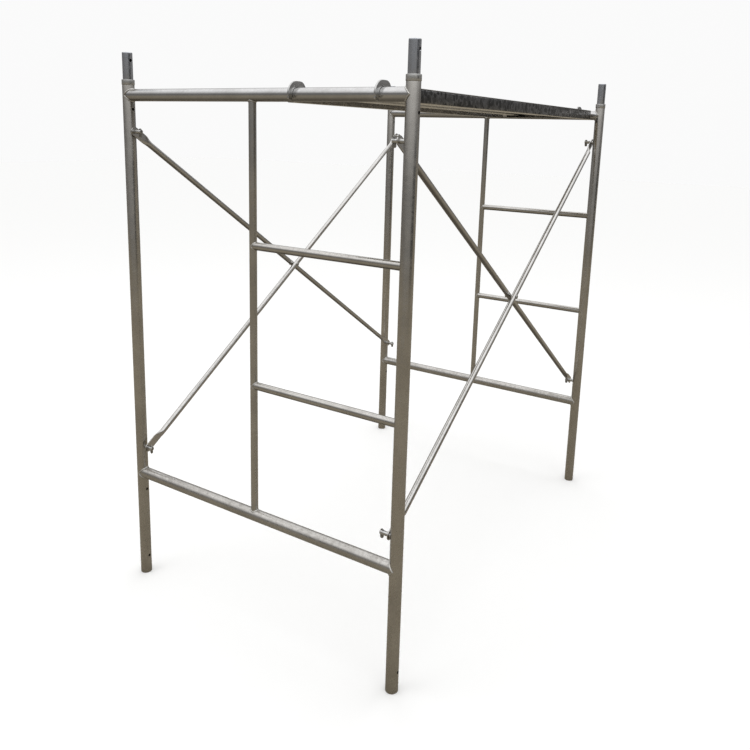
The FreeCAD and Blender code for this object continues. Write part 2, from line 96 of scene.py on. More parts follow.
@dataclass(frozen=True)
class NodeBox:
    """The box of one CAD node at rest."""

    low: Vector
    high: Vector

    @classmethod
    def of(cls, node: str) -> "NodeBox":
        """The box of the node with this name."""
        low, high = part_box(node)
        return cls(low, high)

    @property
    def centre(self) -> Vector:
        """The middle of the box."""
        return (self.low + self.high) / 2

    @property
    def size(self) -> Vector:
        """The three lengths of the box."""
        return self.high - self.low

    def at(self, level: float) -> Vector:
        """The point at a height on the box's upright middle line."""
        return Vector((self.centre.x, self.centre.y, level))

    def way_to(self, node: str, half_turn: bool = False) -> Matrix:
        """What takes a piece from this box to a node's box.

        Args:
            node: Where the piece goes.
            half_turn: Whether it turns half round about +Z on the way.

        Returns:
            The turn and the shift.
        """
        turn = Matrix.Rotation(math.pi if half_turn else 0.0, 4, "Z")
        return Matrix.Translation(NodeBox.of(node).centre) @ turn @ Matrix.Translation(-self.centre)


# ------------------------------------------------------------------ shaping with operators


class Shape:
    """A mesh that is shaped step by step, as at the screen."""

    def __init__(self, obj: bpy.types.Object) -> None:
        """Take over an object that lies at the origin, unturned and unscaled."""
        self.obj = obj

    @staticmethod
    def clear() -> None:
        """Leave edit mode and deselect everything."""
        active = bpy.context.view_layer.objects.active
        if active is not None and active.mode == "EDIT":
            bpy.ops.object.mode_set(mode="OBJECT")
        bpy.ops.object.select_all(action="DESELECT")

    @classmethod
    def new(cls, name: str) -> "Shape":
        """Name the primitive that was just added and put its place into its mesh.

        Args:
            name: The piece's name.

        Returns:
            The new shape.
        """
        obj = bpy.context.active_object
        obj.name = obj.data.name = name
        bpy.ops.object.transform_apply(location=True, rotation=True, scale=True)
        return cls(obj)

    @classmethod
    def rod(cls, name: str, radius: float, start: Vector, end: Vector, sides: int = 48) -> "Shape":
        """Add a solid cylinder between two points.

        Args:
            name: The piece's name.
            radius: Its radius.
            start: The middle of its first end.
            end: The middle of its other end.
            sides: How many flats it has around.

        Returns:
            The new shape.
        """
        axis = end - start
        cls.clear()
        bpy.ops.mesh.primitive_cylinder_add(
            vertices=sides, radius=radius, depth=axis.length, end_fill_type="NGON",
            location=(start + end) / 2, rotation=axis.to_track_quat("Z", "Y").to_euler(),
        )
        return cls.new(name)

    @classmethod
    def through(cls, name: str, radius: float, middle: Vector, half: Vector, sides: int) -> "Shape":
        """Add a solid cylinder that reaches equally far to both sides of a point.

        Args:
            name: The piece's name.
            radius: Its radius.
            middle: Its middle.
            half: From its middle to its end.
            sides: How many flats it has around.

        Returns:
            The new shape.
        """
        return cls.rod(name, radius, middle - half, middle + half, sides)

    @classmethod
    def block(cls, name: str, low: Vector, high: Vector) -> "Shape":
        """Add a box between two corners.

        Args:
            name: The piece's name.
            low: Its lowest corner.
            high: Its highest corner.

        Returns:
            The new shape.
        """
        cls.clear()
        bpy.ops.mesh.primitive_cube_add(size=1.0, location=(low + high) / 2, scale=high - low)
        return cls.new(name)

    @classmethod
    def tube(cls, name: str, radius: float, bore: float, start: Vector, end: Vector,
             sides: int = 48, rim: float = 0.5 * MM) -> "Shape":
        """Make an open tube: a cylinder with both ends inset, bridged through and eased at the rims.

        Args:
            name: The piece's name.
            radius: Its outer radius.
            bore: Its inner radius.
            start: The middle of its first end.
            end: The middle of its other end.
            sides: How many flats it has around.
            rim: How much of each rim is rounded off.

        Returns:
            The new shape.
        """
        shape = cls.rod(name, radius, start, end, sides)
        shape.select(Pick.FACES, lambda face: len(face.verts) > 4)
        bpy.ops.mesh.inset(thickness=radius - bore)
        bpy.ops.mesh.bridge_edge_loops()
        axis = (end - start).normalized()
        length = (end - start).length

        def on_rim(edge: bmesh.types.BMEdge) -> bool:
            """Whether an edge runs around one of the open ends."""
            along = [(v.co - start).dot(axis) for v in edge.verts]
            away = [(v.co - start - axis * t).length for v, t in zip(edge.verts, along)]
            flat = all(min(abs(t), abs(t - length)) < NEAR for t in along)
            return flat and abs(along[0] - along[1]) < NEAR and abs(away[0] - away[1]) < NEAR

        return shape.select(Pick.EDGES, on_rim).bevel(rim, 2).leave()

    @classmethod
    def of_node(cls, name: str, node: str) -> "Shape":
        """Copy a CAD node and turn its loose triangles back into clean flat faces.

        Args:
            name: The copy's name.
            node: The node to copy.

        Returns:
            The new shape.
        """
        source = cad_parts[node]
        obj = bpy.data.objects.new(name, source.data.copy())
        obj.data.name = name
        bpy.context.scene.collection.objects.link(obj)
        obj.data.materials.clear()
        shape = cls(obj).select(Pick.FACES, lambda face: True)
        bpy.ops.mesh.remove_doubles(threshold=SAME)
        bpy.ops.mesh.dissolve_limited(angle_limit=math.radians(0.5))
        return shape.leave()

    def enter(self) -> "Shape":
        """Open the mesh in edit mode with nothing else selected."""
        if self.obj.mode != "EDIT":
            self.clear()
            self.obj.select_set(True)
            bpy.context.view_layer.objects.active = self.obj
            bpy.ops.object.mode_set(mode="EDIT")
        return self

    def leave(self) -> "Shape":
        """Go back to object mode with only this piece selected."""
        self.clear()
        self.obj.select_set(True)
        bpy.context.view_layer.objects.active = self.obj
        return self

    def select(self, pick: Pick, test: Callable) -> "Shape":
        """Select the elements that pass a test, and nothing else.

        Args:
            pick: Whether vertices, edges or faces are meant.
            test: Takes one element and says whether it is wanted.

        Returns:
            This shape, in edit mode.
        """
        self.enter()
        bpy.ops.mesh.select_mode(type=pick.value)
        bpy.ops.mesh.select_all(action="DESELECT")
        mesh = bmesh.from_edit_mesh(self.obj.data)
        for item in {Pick.VERTICES: mesh.verts, Pick.EDGES: mesh.edges, Pick.FACES: mesh.faces}[pick]:
            if test(item):
                item.select_set(True)
        mesh.select_flush_mode()
        bmesh.update_edit_mesh(self.obj.data)
        return self

    def extrude(self, offset: Vector) -> "Shape":
        """Extrude the selected region by an offset."""
        bpy.ops.mesh.extrude_region_move(TRANSFORM_OT_translate={"value": offset})
        return self

    def move(self, offset: Vector) -> "Shape":
        """Move what is selected."""
        bpy.ops.transform.translate(value=offset)
        return self

    def resize(self, factors: tuple[float, float, float], centre: Vector) -> "Shape":
        """Scale what is selected about a point."""
        bpy.ops.transform.resize(value=factors, center_override=centre)
        return self

    def bevel(self, width: float, segments: int) -> "Shape":
        """Round the selected edges."""
        bpy.ops.mesh.bevel(offset=width, segments=segments, affect="EDGES")
        return self

    def modify(self, kind: str, **settings: object) -> "Shape":
        """Add a modifier, set it and apply it.

        Args:
            kind: The modifier's type.
            settings: Its properties.

        Returns:
            This shape.
        """
        self.leave()
        bpy.ops.object.modifier_add(type=kind)
        modifier = self.obj.modifiers[-1]
        for key, value in settings.items():
            setattr(modifier, key, value)
        bpy.ops.object.modifier_apply(modifier=modifier.name)
        return self

    def cut(self, cutters: Iterable["Shape"]) -> "Shape":
        """Take other shapes away from this one; the cutters are used up.

        Args:
            cutters: Closed shapes.

        Returns:
            This shape.
        """
        for cutter in cutters:
            self.modify("BOOLEAN", operation="DIFFERENCE", solver="EXACT", object=cutter.leave().obj)
            bpy.data.objects.remove(cutter.obj)
        return self

    def ease(self, width: float, degrees: float = 40.0, segments: int = 2) -> "Shape":
        """Round every edge that is sharper than an angle."""
        return self.modify("BEVEL", width=width, segments=segments, limit_method="ANGLE",
                           angle_limit=math.radians(degrees), use_clamp_overlap=True)

    def face_outwards(self, upwards: bool = False) -> "Shape":
        """Merge doubles and turn all faces outwards.

        Args:
            upwards: Whether this is an open sheet, whose faces are turned upwards.

        Returns:
            This shape.
        """
        self.select(Pick.FACES, lambda face: True)
        bpy.ops.mesh.remove_doubles(threshold=SAME)
        bpy.ops.mesh.normals_make_consistent(inside=False)
        mesh = bmesh.from_edit_mesh(self.obj.data)
        if upwards and sum(face.normal.z * face.calc_area() for face in mesh.faces) < 0:
            bpy.ops.mesh.flip_normals()
        return self.leave()

    def copy(self, name: str, place: Matrix) -> "Shape":
        """Copy this shape with a mesh of its own.

        Args:
            name: The copy's name.
            place: A turn and a shift, which go into the copy's mesh.

        Returns:
            The copy.
        """
        self.leave()
        obj = bpy.data.objects.new(name, self.obj.data.copy())
        obj.data.name = name
        obj.data.transform(place)
        bpy.context.scene.collection.objects.link(obj)
        return Shape(obj)

    @staticmethod
    def joined(name: str, shapes: list["Shape"]) -> "Shape":
        """Join shapes into one piece.

        Args:
            name: The joined piece's name.
            shapes: What is joined; the first one takes in the others.

        Returns:
            The joined shape.
        """
        shapes[0].leave()
        for shape in shapes[1:]:
            shape.obj.select_set(True)
        bpy.ops.object.join()
        shapes[0].obj.name = shapes[0].obj.data.name = name
        return shapes[0]

    def paint(self, finish: "SteelFinish", test: Callable) -> "Shape":
        """Give some of the faces a finish of their own.

        Args:
            finish: That finish.
            test: Takes one face and says whether it is wanted.

        Returns:
            This shape.
        """
        self.leave()
        if not self.obj.data.materials:
            self.obj.data.materials.append(finish.material())
        self.obj.data.materials.append(finish.material())
        self.select(Pick.FACES, test)
        self.obj.active_material_index = len(self.obj.data.materials) - 1
        bpy.ops.object.material_slot_assign()
        return self.leave()

    def discard(self) -> None:
        """Drop a master that has been copied."""
        self.leave()
        bpy.data.objects.remove(self.obj)

    def dress(self, finish: "SteelFinish", body: str, nodes: tuple[str, ...] = (),
              angle: float = 32.0) -> "Shape":
        """Smooth the piece, give it its finish and hand it over.

        Args:
            finish: The finish it wears.
            body: The CAD body that it rides on.
            nodes: The CAD nodes that it stands for.
            angle: Faces that meet at less than this, in degrees, shade as one.

        Returns:
            This shape.
        """
        self.leave()
        bpy.ops.object.shade_smooth_by_angle(angle=math.radians(angle))
        if self.obj.data.materials:
            self.obj.data.materials[0] = finish.material()
        else:
            self.obj.data.materials.append(finish.material())
        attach(self.obj, body)
        if nodes:
            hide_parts(*nodes)
        LOG.info("%s: %d faces on %s", self.obj.name, len(self.obj.data.polygons), body)
        return self


# ------------------------------------------------------------------ finishes


class NodeTree:
    """A small helper that adds and links shader nodes."""

    def __init__(self, tree: bpy.types.NodeTree) -> None:
        """Work on this tree."""
        self.tree = tree

    def add(self, kind: str, inputs: dict[str | int, object] | None = None,
            **settings: object) -> bpy.types.Node:
        """Add a node.

        Args:
            kind: The node's type.
            inputs: Values or output sockets for its inputs.
            settings: Its properties.

        Returns:
            The new node.
        """
        node = self.tree.nodes.new(kind)
        for key, value in settings.items():
            setattr(node, key, value)
        for key, value in (inputs or {}).items():
            if isinstance(value, bpy.types.NodeSocket):
                self.tree.links.new(value, node.inputs[key])
            else:
                node.inputs[key].default_value = value
        return node

    def math(self, operation: str, first: object, second: object,
             third: object = 0.0) -> bpy.types.NodeSocket:
        """Add a Math node and give back its result, held between 0 and 1."""
        return self.add("ShaderNodeMath", {0: first, 1: second, 2: third}, operation=operation,
                        use_clamp=True).outputs[0]

    def ramp(self, value: object, low: float, high: float, to_low: float = 0.0,
             to_high: float = 1.0) -> bpy.types.NodeSocket:
        """Map a value from one range to another, smoothly and with its ends held."""
        node = self.add("ShaderNodeMapRange", {"Value": value, "From Min": low, "From Max": high,
                                               "To Min": to_low, "To Max": to_high},
                        interpolation_type="SMOOTHSTEP")
        return node.outputs["Result"]

    def mix(self, factor: object, first: object, second: object) -> bpy.types.NodeSocket:
        """Mix two colours and give back the result."""
        return self.add("ShaderNodeMix", {0: factor, 6: first, 7: second}, data_type="RGBA").outputs[2]

    def noise(self, where: object, scale: object, detail: float,
              roughness: float = 0.5) -> bpy.types.NodeSocket:
        """Add a noise texture and give back its value."""
        return self.add("ShaderNodeTexNoise", {"Vector": where, "Scale": scale, "Detail": detail,
                                               "Roughness": roughness}).outputs["Fac"]


class EffectGroup(Enum):
    """The effects that several finishes share; the weathering group also gives the mask of downward faces,
    which most finishes paint with shade and the deck, rails and stiffeners paint with floor light.
    """

    SPANGLE = "zinc_spangle"
    WEATHER_AND_PAINTED_UNDERSIDE = "yard_weathering"
    WEAR = "handling_wear"


def effect_group(effect: EffectGroup) -> bpy.types.NodeTree:
    """Build a shared effect, once.

    Args:
        effect: Which one.

    Returns:
        Its node group.
    """
    if effect.value in bpy.data.node_groups:
        return bpy.data.node_groups[effect.value]
    group = bpy.data.node_groups.new(effect.value, "ShaderNodeTree")
    tree = NodeTree(group)
    sockets = {
        EffectGroup.SPANGLE: (("Crystals", "Depth"), ("Crystal", "Cloud", "Height")),
        EffectGroup.WEATHER_AND_PAINTED_UNDERSIDE: (("Streaks", "Reach"), ("Grime", "Bloom", "Painted Underside")),
        EffectGroup.WEAR: (("Scratches", "Share"), ("Worn", "Height")),
    }[effect]
    for direction, names in zip(("INPUT", "OUTPUT"), sockets):
        for name in names:
            group.interface.new_socket(name=name, in_out=direction, socket_type="NodeSocketFloat")
    entry, leave = group.nodes.new("NodeGroupInput"), group.nodes.new("NodeGroupOutput")
    where = tree.add("ShaderNodeTexCoord").outputs["Object"]
    if effect is EffectGroup.SPANGLE:
        cells = tree.add("ShaderNodeTexVoronoi", {"Vector": where, "Scale": entry.outputs["Crystals"],
                                                  "Randomness": 1.0}, feature="F1")
        grey = tree.add("ShaderNodeSeparateColor", {0: cells.outputs["Color"]}).outputs[0]
        cloud = tree.noise(where, 9.0, 4.0, 0.6)
        grain = tree.noise(where, 900.0, 2.0)
        depth = tree.math("MULTIPLY", tree.math("MULTIPLY_ADD", grey, 0.6, 0.5), entry.outputs["Depth"])
        relief = tree.math("ADD", depth, tree.math("MULTIPLY", grain, 0.12))
        results = (grey, tree.ramp(cloud, 0.3, 0.7), relief)
    elif effect is EffectGroup.WEATHER_AND_PAINTED_UNDERSIDE:
        stretched = tree.add("ShaderNodeMapping", {"Vector": where, "Scale": (1.0, 1.0, 0.08)}).outputs[0]
        streaks = tree.noise(stretched, entry.outputs["Streaks"], 5.0, 0.65)
        height = tree.add("ShaderNodeSeparateXYZ", {0: where}).outputs[2]
        low = tree.math("SUBTRACT", 1.0, tree.math("DIVIDE", height, entry.outputs["Reach"]))
        grime = tree.math("MULTIPLY", tree.ramp(streaks, 0.42, 0.72), tree.ramp(low, 0.0, 1.0, 0.35, 1.0))
        bloom = tree.noise(where, 34.0, 6.0, 0.75)
        facing = tree.add("ShaderNodeSeparateXYZ", {0: tree.add("ShaderNodeNewGeometry").outputs["Normal"]})
        # Painted shade and painted light: the faces that look downwards, picked by their normal.
        painted_underside_mask = tree.ramp(facing.outputs[2], -0.2, -0.8)
        results = (grime, tree.ramp(bloom, 0.58, 0.74), painted_underside_mask)
    else:
        scuffed = tree.noise(where, entry.outputs["Scratches"], 8.0, 0.7)
        edge = tree.ramp(tree.add("ShaderNodeNewGeometry").outputs["Pointiness"], 0.51, 0.58)
        patches = tree.ramp(scuffed, 0.62, 0.7)
        worn = tree.math("MULTIPLY", tree.math("MAXIMUM", edge, patches), entry.outputs["Share"])
        results = (worn, tree.math("MULTIPLY", scuffed, 0.5))
    for name, result in zip(sockets[1], results):
        group.links.new(result, leave.inputs[name])
    return group


GRIME_REACH = 1.9  # the height up to which mud and rust thin out


@dataclass(frozen=True)
class SteelFinish:
    """A galvanised or plain steel surface, whose downward faces take a painted underside tone: painted shade
    on most pieces, painted floor light on the deck, rails and stiffeners.
    """

    name: str
    slot: str
    light: Rgb
    dark: Rgb
    grime: Rgb = (0.20, 0.17, 0.14)
    grime_share: float = 0.45
    crystals: float = 150.0
    contrast: float = 0.5
    roughness: tuple[float, float] = (0.24, 0.40)
    bump: float = 0.014
    wear: float = 0.5
    bare: Rgb = (0.80, 0.80, 0.78)
    # Painted shade and light: the tone painted onto downward faces, and how much of it.
    painted_underside_tone: Rgb = (0.12, 0.11, 0.10)
    painted_underside_share: float = 0.0

    def material(self) -> bpy.types.Material:
        """Build the material, once.

        Returns:
            The material of this finish.
        """
        if self.name in bpy.data.materials:
            return bpy.data.materials[self.name]
        material = bpy.data.materials.new(self.name)
        material.use_nodes = True
        material.node_tree.nodes.clear()
        tree = NodeTree(material.node_tree)
        spangle, weather_and_painted_underside, wear = (
            tree.add("ShaderNodeGroup", values, node_tree=effect_group(effect)) for effect, values in (
                (EffectGroup.SPANGLE, {"Crystals": self.crystals, "Depth": 1.0}),
                (EffectGroup.WEATHER_AND_PAINTED_UNDERSIDE, {"Streaks": 60.0, "Reach": GRIME_REACH}),
                (EffectGroup.WEAR, {"Scratches": 45.0, "Share": self.wear})))
        crystal = tree.math("MULTIPLY", spangle.outputs["Crystal"], self.contrast)
        cloudy = tree.math("MULTIPLY", spangle.outputs["Cloud"], 1.0 - self.contrast)
        colour = tree.mix(tree.math("ADD", crystal, cloudy), (*self.light, 1.0), (*self.dark, 1.0))
        # Bloom, grime and wear are marks of the steel itself; the last mix paints the underside tone onto
        # downward faces, as painted shade on most finishes and as painted floor light on the deck, rails and
        # stiffeners.
        for effect, share, over in ((weather_and_painted_underside.outputs["Bloom"], 0.35, self.bare),
                                    (weather_and_painted_underside.outputs["Grime"], self.grime_share, self.grime),
                                    (wear.outputs["Worn"], None, self.bare),
                                    (weather_and_painted_underside.outputs["Painted Underside"], self.painted_underside_share, self.painted_underside_tone)):
            factor = effect if share is None else tree.math("MULTIPLY", effect, share)
            colour = tree.mix(factor, colour, (*over, 1.0))
        rough = tree.ramp(spangle.outputs["Crystal"], 0.0, 1.0, *self.roughness)
        rough = tree.math("ADD", rough, tree.math("MULTIPLY", weather_and_painted_underside.outputs["Grime"], 0.2))
        relief = tree.math("ADD", tree.math("MULTIPLY", spangle.outputs["Height"], 0.8),
                           tree.math("MULTIPLY", wear.outputs["Height"], 0.2))
        bump = tree.add("ShaderNodeBump", {"Height": relief, "Strength": self.bump, "Distance": 0.0006})
        shader = tree.add("ShaderNodeBsdfPrincipled", {
            "Base Color": colour, "Roughness": rough, "Metallic": 1.0,
            "Normal": bump.outputs["Normal"],
        })
        tree.add("ShaderNodeOutputMaterial", {"Surface": shader.outputs[0]})
        return material


# Most finishes below darken their downward faces with painted shade through their underside settings.
LEG_FINISH = SteelFinish("galvanised_leg", "leg_tube", (0.59, 0.57, 0.535), (0.46, 0.44, 0.405),
                         grime_share=0.15, crystals=120.0, contrast=0.3, roughness=(0.17, 0.27), wear=0.06)
TOP_BAR_FINISH = SteelFinish("galvanised_top_bar", "bar_tube", (0.60, 0.60, 0.60), (0.47, 0.465, 0.46),
                             grime_share=0.15, contrast=0.35, roughness=(0.12, 0.20), wear=0.06,
                             painted_underside_share=0.75)
BAR_FINISH = SteelFinish("galvanised_bar", "bar_tube", (0.56, 0.545, 0.52), (0.42, 0.405, 0.38),
                         grime_share=0.2, contrast=0.35, roughness=(0.22, 0.32), wear=0.06,
                         painted_underside_share=0.3)
LADDER_FINISH = SteelFinish("galvanised_rung", "ladder_tube", (0.60, 0.585, 0.555), (0.45, 0.435, 0.41),
                            grime_share=0.2, contrast=0.35, roughness=(0.12, 0.22), wear=0.06,
                            painted_underside_share=0.9, painted_underside_tone=(0.06, 0.055, 0.05))
BRACE_FINISH = SteelFinish("galvanised_brace", "brace_tube", (0.68, 0.67, 0.655), (0.52, 0.51, 0.49),
                           grime_share=0.15, crystals=180.0, contrast=0.4, roughness=(0.10, 0.20), wear=0.06,
                           painted_underside_share=0.85)
STUD_FINISH = SteelFinish("zinc_stud", "stud_steel", (0.62, 0.62, 0.61), (0.40, 0.40, 0.39), wear=0.6,
                          roughness=(0.16, 0.30), painted_underside_share=0.7)
LATCH_FINISH = SteelFinish("zinc_latch", "latch_zinc", (0.26, 0.26, 0.255), (0.14, 0.14, 0.14), wear=0.5,
                           painted_underside_share=0.6)
PIN_FINISH = SteelFinish("dark_pin", "pin_steel", (0.66, 0.685, 0.73), (0.42, 0.44, 0.48),
                         grime=(0.10, 0.08, 0.07), grime_share=0.3, crystals=110.0, roughness=(0.14, 0.28),
                         wear=0.4, bare=(0.85, 0.85, 0.85))
# Painted highlight: the upward-facing faces of each pin's chamfered top are painted near white.
RIM_HIGHLIGHT_FINISH = SteelFinish("painted_highlight_rim", "pin_steel", (0.92, 0.92, 0.92), (0.78, 0.78, 0.78), grime_share=0.0,
                         roughness=(0.2, 0.3), wear=0.0)
COLLAR_FINISH = SteelFinish("cast_collar", "collar_steel", (0.64, 0.64, 0.62), (0.40, 0.40, 0.39),
                            roughness=(0.26, 0.40), bump=0.04, painted_underside_share=0.8)
HOOK_FINISH = SteelFinish("plate_hook", "hook_steel", (0.62, 0.62, 0.615), (0.42, 0.42, 0.415), wear=0.5,
                          roughness=(0.16, 0.28), painted_underside_share=0.85)
# The deck, rail and stiffener undersides are painted light, for the light that the pale floor throws up.
DECK_FINISH = SteelFinish("galvanised_deck", "deck_steel", (0.66, 0.65, 0.63), (0.36, 0.355, 0.34),
                          crystals=70.0, contrast=0.75, painted_underside_tone=(0.85, 0.82, 0.76), painted_underside_share=0.6)
# Painted reflection: the rail and end-channel steel is painted near black for a dark skyline mirrored in it;
# its undersides are painted floor light.
RAIL_DARK_REFLECTION_FINISH = SteelFinish("rail_painted_dark_reflection", "rail_steel", (0.30, 0.30, 0.305), (0.028, 0.029, 0.031),
                          crystals=75.0, contrast=0.9, grime_share=0.1, roughness=(0.22, 0.42), wear=0.2,
                          bare=(0.16, 0.16, 0.158), painted_underside_tone=(0.92, 0.89, 0.83), painted_underside_share=0.9)
STIFFENER_FINISH = SteelFinish("galvanised_trough", "stiffener_steel", (0.64, 0.625, 0.60),
                               (0.36, 0.35, 0.335), crystals=70.0, contrast=0.6,
                               painted_underside_tone=(0.88, 0.85, 0.79), painted_underside_share=0.7)
WELD_FINISH = SteelFinish("weld_bead", "bar_tube", (0.66, 0.645, 0.61), (0.40, 0.385, 0.36),
                          crystals=260.0, roughness=(0.26, 0.42), bump=0.12, painted_underside_share=0.5)
# Painted shade: the insides of the legs and pins are painted near black for the shade in the bore.
BORE_SHADE_FINISH = SteelFinish("painted_bore_shade", "leg_tube", (0.035, 0.032, 0.028), (0.015, 0.014, 0.012),
                          grime_share=0.2, roughness=(0.6, 0.8), wear=0.0, bare=(0.05, 0.05, 0.05))


# ------------------------------------------------------------------ welds


@dataclass(frozen=True)
class WeldBead:
    """A fillet weld with the ripples that each dab leaves."""

    radius: float = 2.6 * MM
    dab: float = 3.4 * MM
    swell: float = 1.16
    facets: int = 8

    def saddle(self, name: str, branch: float, main: float) -> Shape:
        """Lay a bead where a branch tube along +X meets a main tube along Z.

        Args:
            name: The bead's name.
            branch: The branch tube's radius.
            main: The main tube's radius.

        Returns:
            The bead, around the origin, which is on the main tube's axis.
        """
        dabs = max(24, 2 * round(math.tau * branch / self.dab / 2))
        Shape.clear()
        bpy.ops.mesh.primitive_torus_add(
            major_segments=dabs, minor_segments=self.facets, major_radius=branch,
            minor_radius=self.radius, rotation=(0.0, math.pi / 2, 0.0),
        )
        bead = Shape.new(name)
        step = math.tau / dabs
        for index in range(dabs):
            turn = index * step
            middle = Vector((0.0, branch * math.cos(turn), branch * math.sin(turn)))

            def near(vert: bmesh.types.BMVert) -> bool:
                """Whether a vertex belongs to this dab of the bead."""
                gap = math.atan2(vert.co.z, vert.co.y) - turn
                return abs((gap + math.pi) % math.tau - math.pi) < step / 4

            bead.select(Pick.VERTICES, near)
            if index % 2:
                bead.resize((self.swell,) * 3, middle)
            reach = math.sqrt(max(main**2 - middle.y**2, 0.0))
            bead.move(Vector((reach, 0.0, 0.0)))
        return bead.leave()

    def straight(self, name: str, start: Vector, end: Vector) -> Shape:
        """Lay a bead along a straight seam.

        Args:
            name: The bead's name.
            start: Where it starts.
            end: Where it ends.

        Returns:
            The bead.
        """
        run = end - start
        count = max(4, round(run.length / self.dab))
        step = run / count
        bead = Shape.rod(name, self.radius, start, start + step, 12)
        last = start + step
        for index in range(count - 1):
            bead.select(Pick.FACES, lambda face: len(face.verts) > 4
                        and (face.calc_center_median() - last).length < step.length / 4)
            bead.extrude(step)
            last = last + step
            bead.resize((self.swell if index % 2 else 1.0 / self.swell,) * 3, last)
        bead.select(Pick.EDGES, lambda edge: any(len(face.verts) > 4 for face in edge.link_faces))
        return bead.bevel(self.radius * 0.5, 2).leave()


# ------------------------------------------------------------------ ladder frames


@dataclass
class LadderFrames:
    """The two welded frames: legs, bars, an inner upright, two rungs and the brace studs.

    Each kind of piece is modelled once, where the front frame has it, and copied to the other places.
    """

    bar_wall: float = 2.9 * MM
    upright_wall: float = 2.0 * MM
    rung_wall: float = 2.3 * MM
    leg_bore: float = 18.4 * MM
    lock_hole: float = 5.5 * MM
    lock_levels: tuple[float, float] = (75.0 * MM, 1846.0 * MM)
    side_level: float = 367.0 * MM
    stud_radius: float = 7.5 * MM
    slot_half: float = 2.4 * MM
    slot_start: float = 20.5 * MM
    sunk: float = 0.2 * MM
    proud: float = 0.25 * MM
    left_leg: NodeBox = field(init=False)
    right_leg: NodeBox = field(init=False)
    upright: NodeBox = field(init=False)
    leg_radius: float = field(init=False)
    bar_radius: float = field(init=False)
    upright_radius: float = field(init=False)
    rung_radius: float = field(init=False)
    stud_levels: tuple[float, float] = field(init=False)

    def __post_init__(self) -> None:
        """Look up the places that several pieces share."""
        self.left_leg, self.right_leg = NodeBox.of("front_left_leg"), NodeBox.of("front_right_leg")
        self.leg_radius = self.left_leg.size.x / 2
        self.bar_radius = NodeBox.of("front_top_bar").size.y / 2
        self.upright = NodeBox.of("front_inner_upright")
        self.upright_radius = self.upright.size.x / 2
        self.rung_radius = NodeBox.of("front_lower_rung").size.y / 2
        studs = NodeBox.of("front_left_studs")
        self.stud_levels = (studs.low.z + self.stud_radius, studs.high.z - self.stud_radius)

    @staticmethod
    def levels(*names: str) -> list[float]:
        """The heights of the front frame's bars or rungs with these names."""
        return [NodeBox.of(f"front_{name}").centre.z for name in names]

    def set_out(self, master: Shape, suffix: str, finish: SteelFinish, home: str,
                kinds: Iterable[str]) -> None:
        """Copy a piece to its places in both frames, turned half round on the right-hand legs.

        Args:
            master: The piece, which is used up.
            suffix: What its copies' names end in.
            finish: Their finish.
            home: The node at whose place it was modelled.
            kinds: The nodes' names without the frame's.
        """
        start = NodeBox.of(home)
        for end in End:
            for kind in kinds:
                node = f"{end.value}_{kind}"
                place = start.way_to(node, kind.startswith(Side.RIGHT.value))
                master.copy(f"{node}_{suffix}", place).dress(finish, "frames", (node,))
        master.discard()

    def leg(self) -> Shape:
        """Make the left leg with its locking-pin holes, and its bore painted near black as painted shade."""
        box, radius = self.left_leg, self.leg_radius
        foot = box.at(box.low.z)
        shape = Shape.tube("leg", radius, self.leg_bore, foot, foot + UP * box.size.z, rim=0.9 * MM)
        across = RIGHTWARD * 2 * radius
        holes = [(foot + UP * level - across, foot + UP * level + across) for level in self.lock_levels]
        middle = foot + UP * self.side_level
        holes.append((middle, middle + across))
        shape.cut(Shape.rod("hole", self.lock_hole, start, end, 28) for start, end in holes)
        # Painted shade: the faces of the bore take the near-black bore finish.
        return shape.paint(BORE_SHADE_FINISH, lambda face: all(
            (vert.co - foot).xy.length < self.leg_bore + 0.3 * MM for vert in face.verts))

    def coped(self, name: str, tube: tuple[float, float], run: tuple[Vector, Vector],
              mains: Iterable[tuple[Vector, Vector, float]]) -> Shape:
        """Make a tube whose ends are cut to the tubes that it is welded to.

        Args:
            name: Its name.
            tube: Its outer and inner radius.
            run: From where to where its axis runs, up to the axes of its neighbours.
            mains: For each neighbour a point on its axis, its direction and its radius.

        Returns:
            The tube.
        """
        shape = Shape.tube(name, tube[0], tube[1], *run, sides=40)
        reach = 3 * tube[0] + 0.02
        return shape.cut(Shape.through("cope", radius, point, axis * reach, 60)
                         for point, axis, radius in mains)

    def bar(self) -> Shape:
        """Make the top bar."""
        level = NodeBox.of("front_top_bar").centre.z
        ends = tuple(leg.at(level) for leg in (self.left_leg, self.right_leg))
        return self.coped("bar", (self.bar_radius, self.bar_radius - self.bar_wall), ends,
                          [(point, UP, self.leg_radius - self.sunk) for point in ends])

    def inner_upright(self) -> Shape:
        """Make the upright that carries the inner ends of the rungs."""
        ends = tuple(self.upright.at(level) for level in self.levels("bottom_bar", "top_bar"))
        return self.coped("upright", (self.upright_radius, self.upright_radius - self.upright_wall), ends,
                          [(point, RIGHTWARD, self.bar_radius - self.sunk) for point in ends])

    def rung(self) -> Shape:
        """Make the lower rung, from the inner upright to the right leg."""
        level = NodeBox.of("front_lower_rung").centre.z
        start, end = self.upright.at(level), self.right_leg.at(level)
        return self.coped("rung", (self.rung_radius, self.rung_radius - self.rung_wall), (start, end),
                          [(start, UP, self.upright_radius + self.proud),
                           (end, UP, self.leg_radius - self.sunk)])

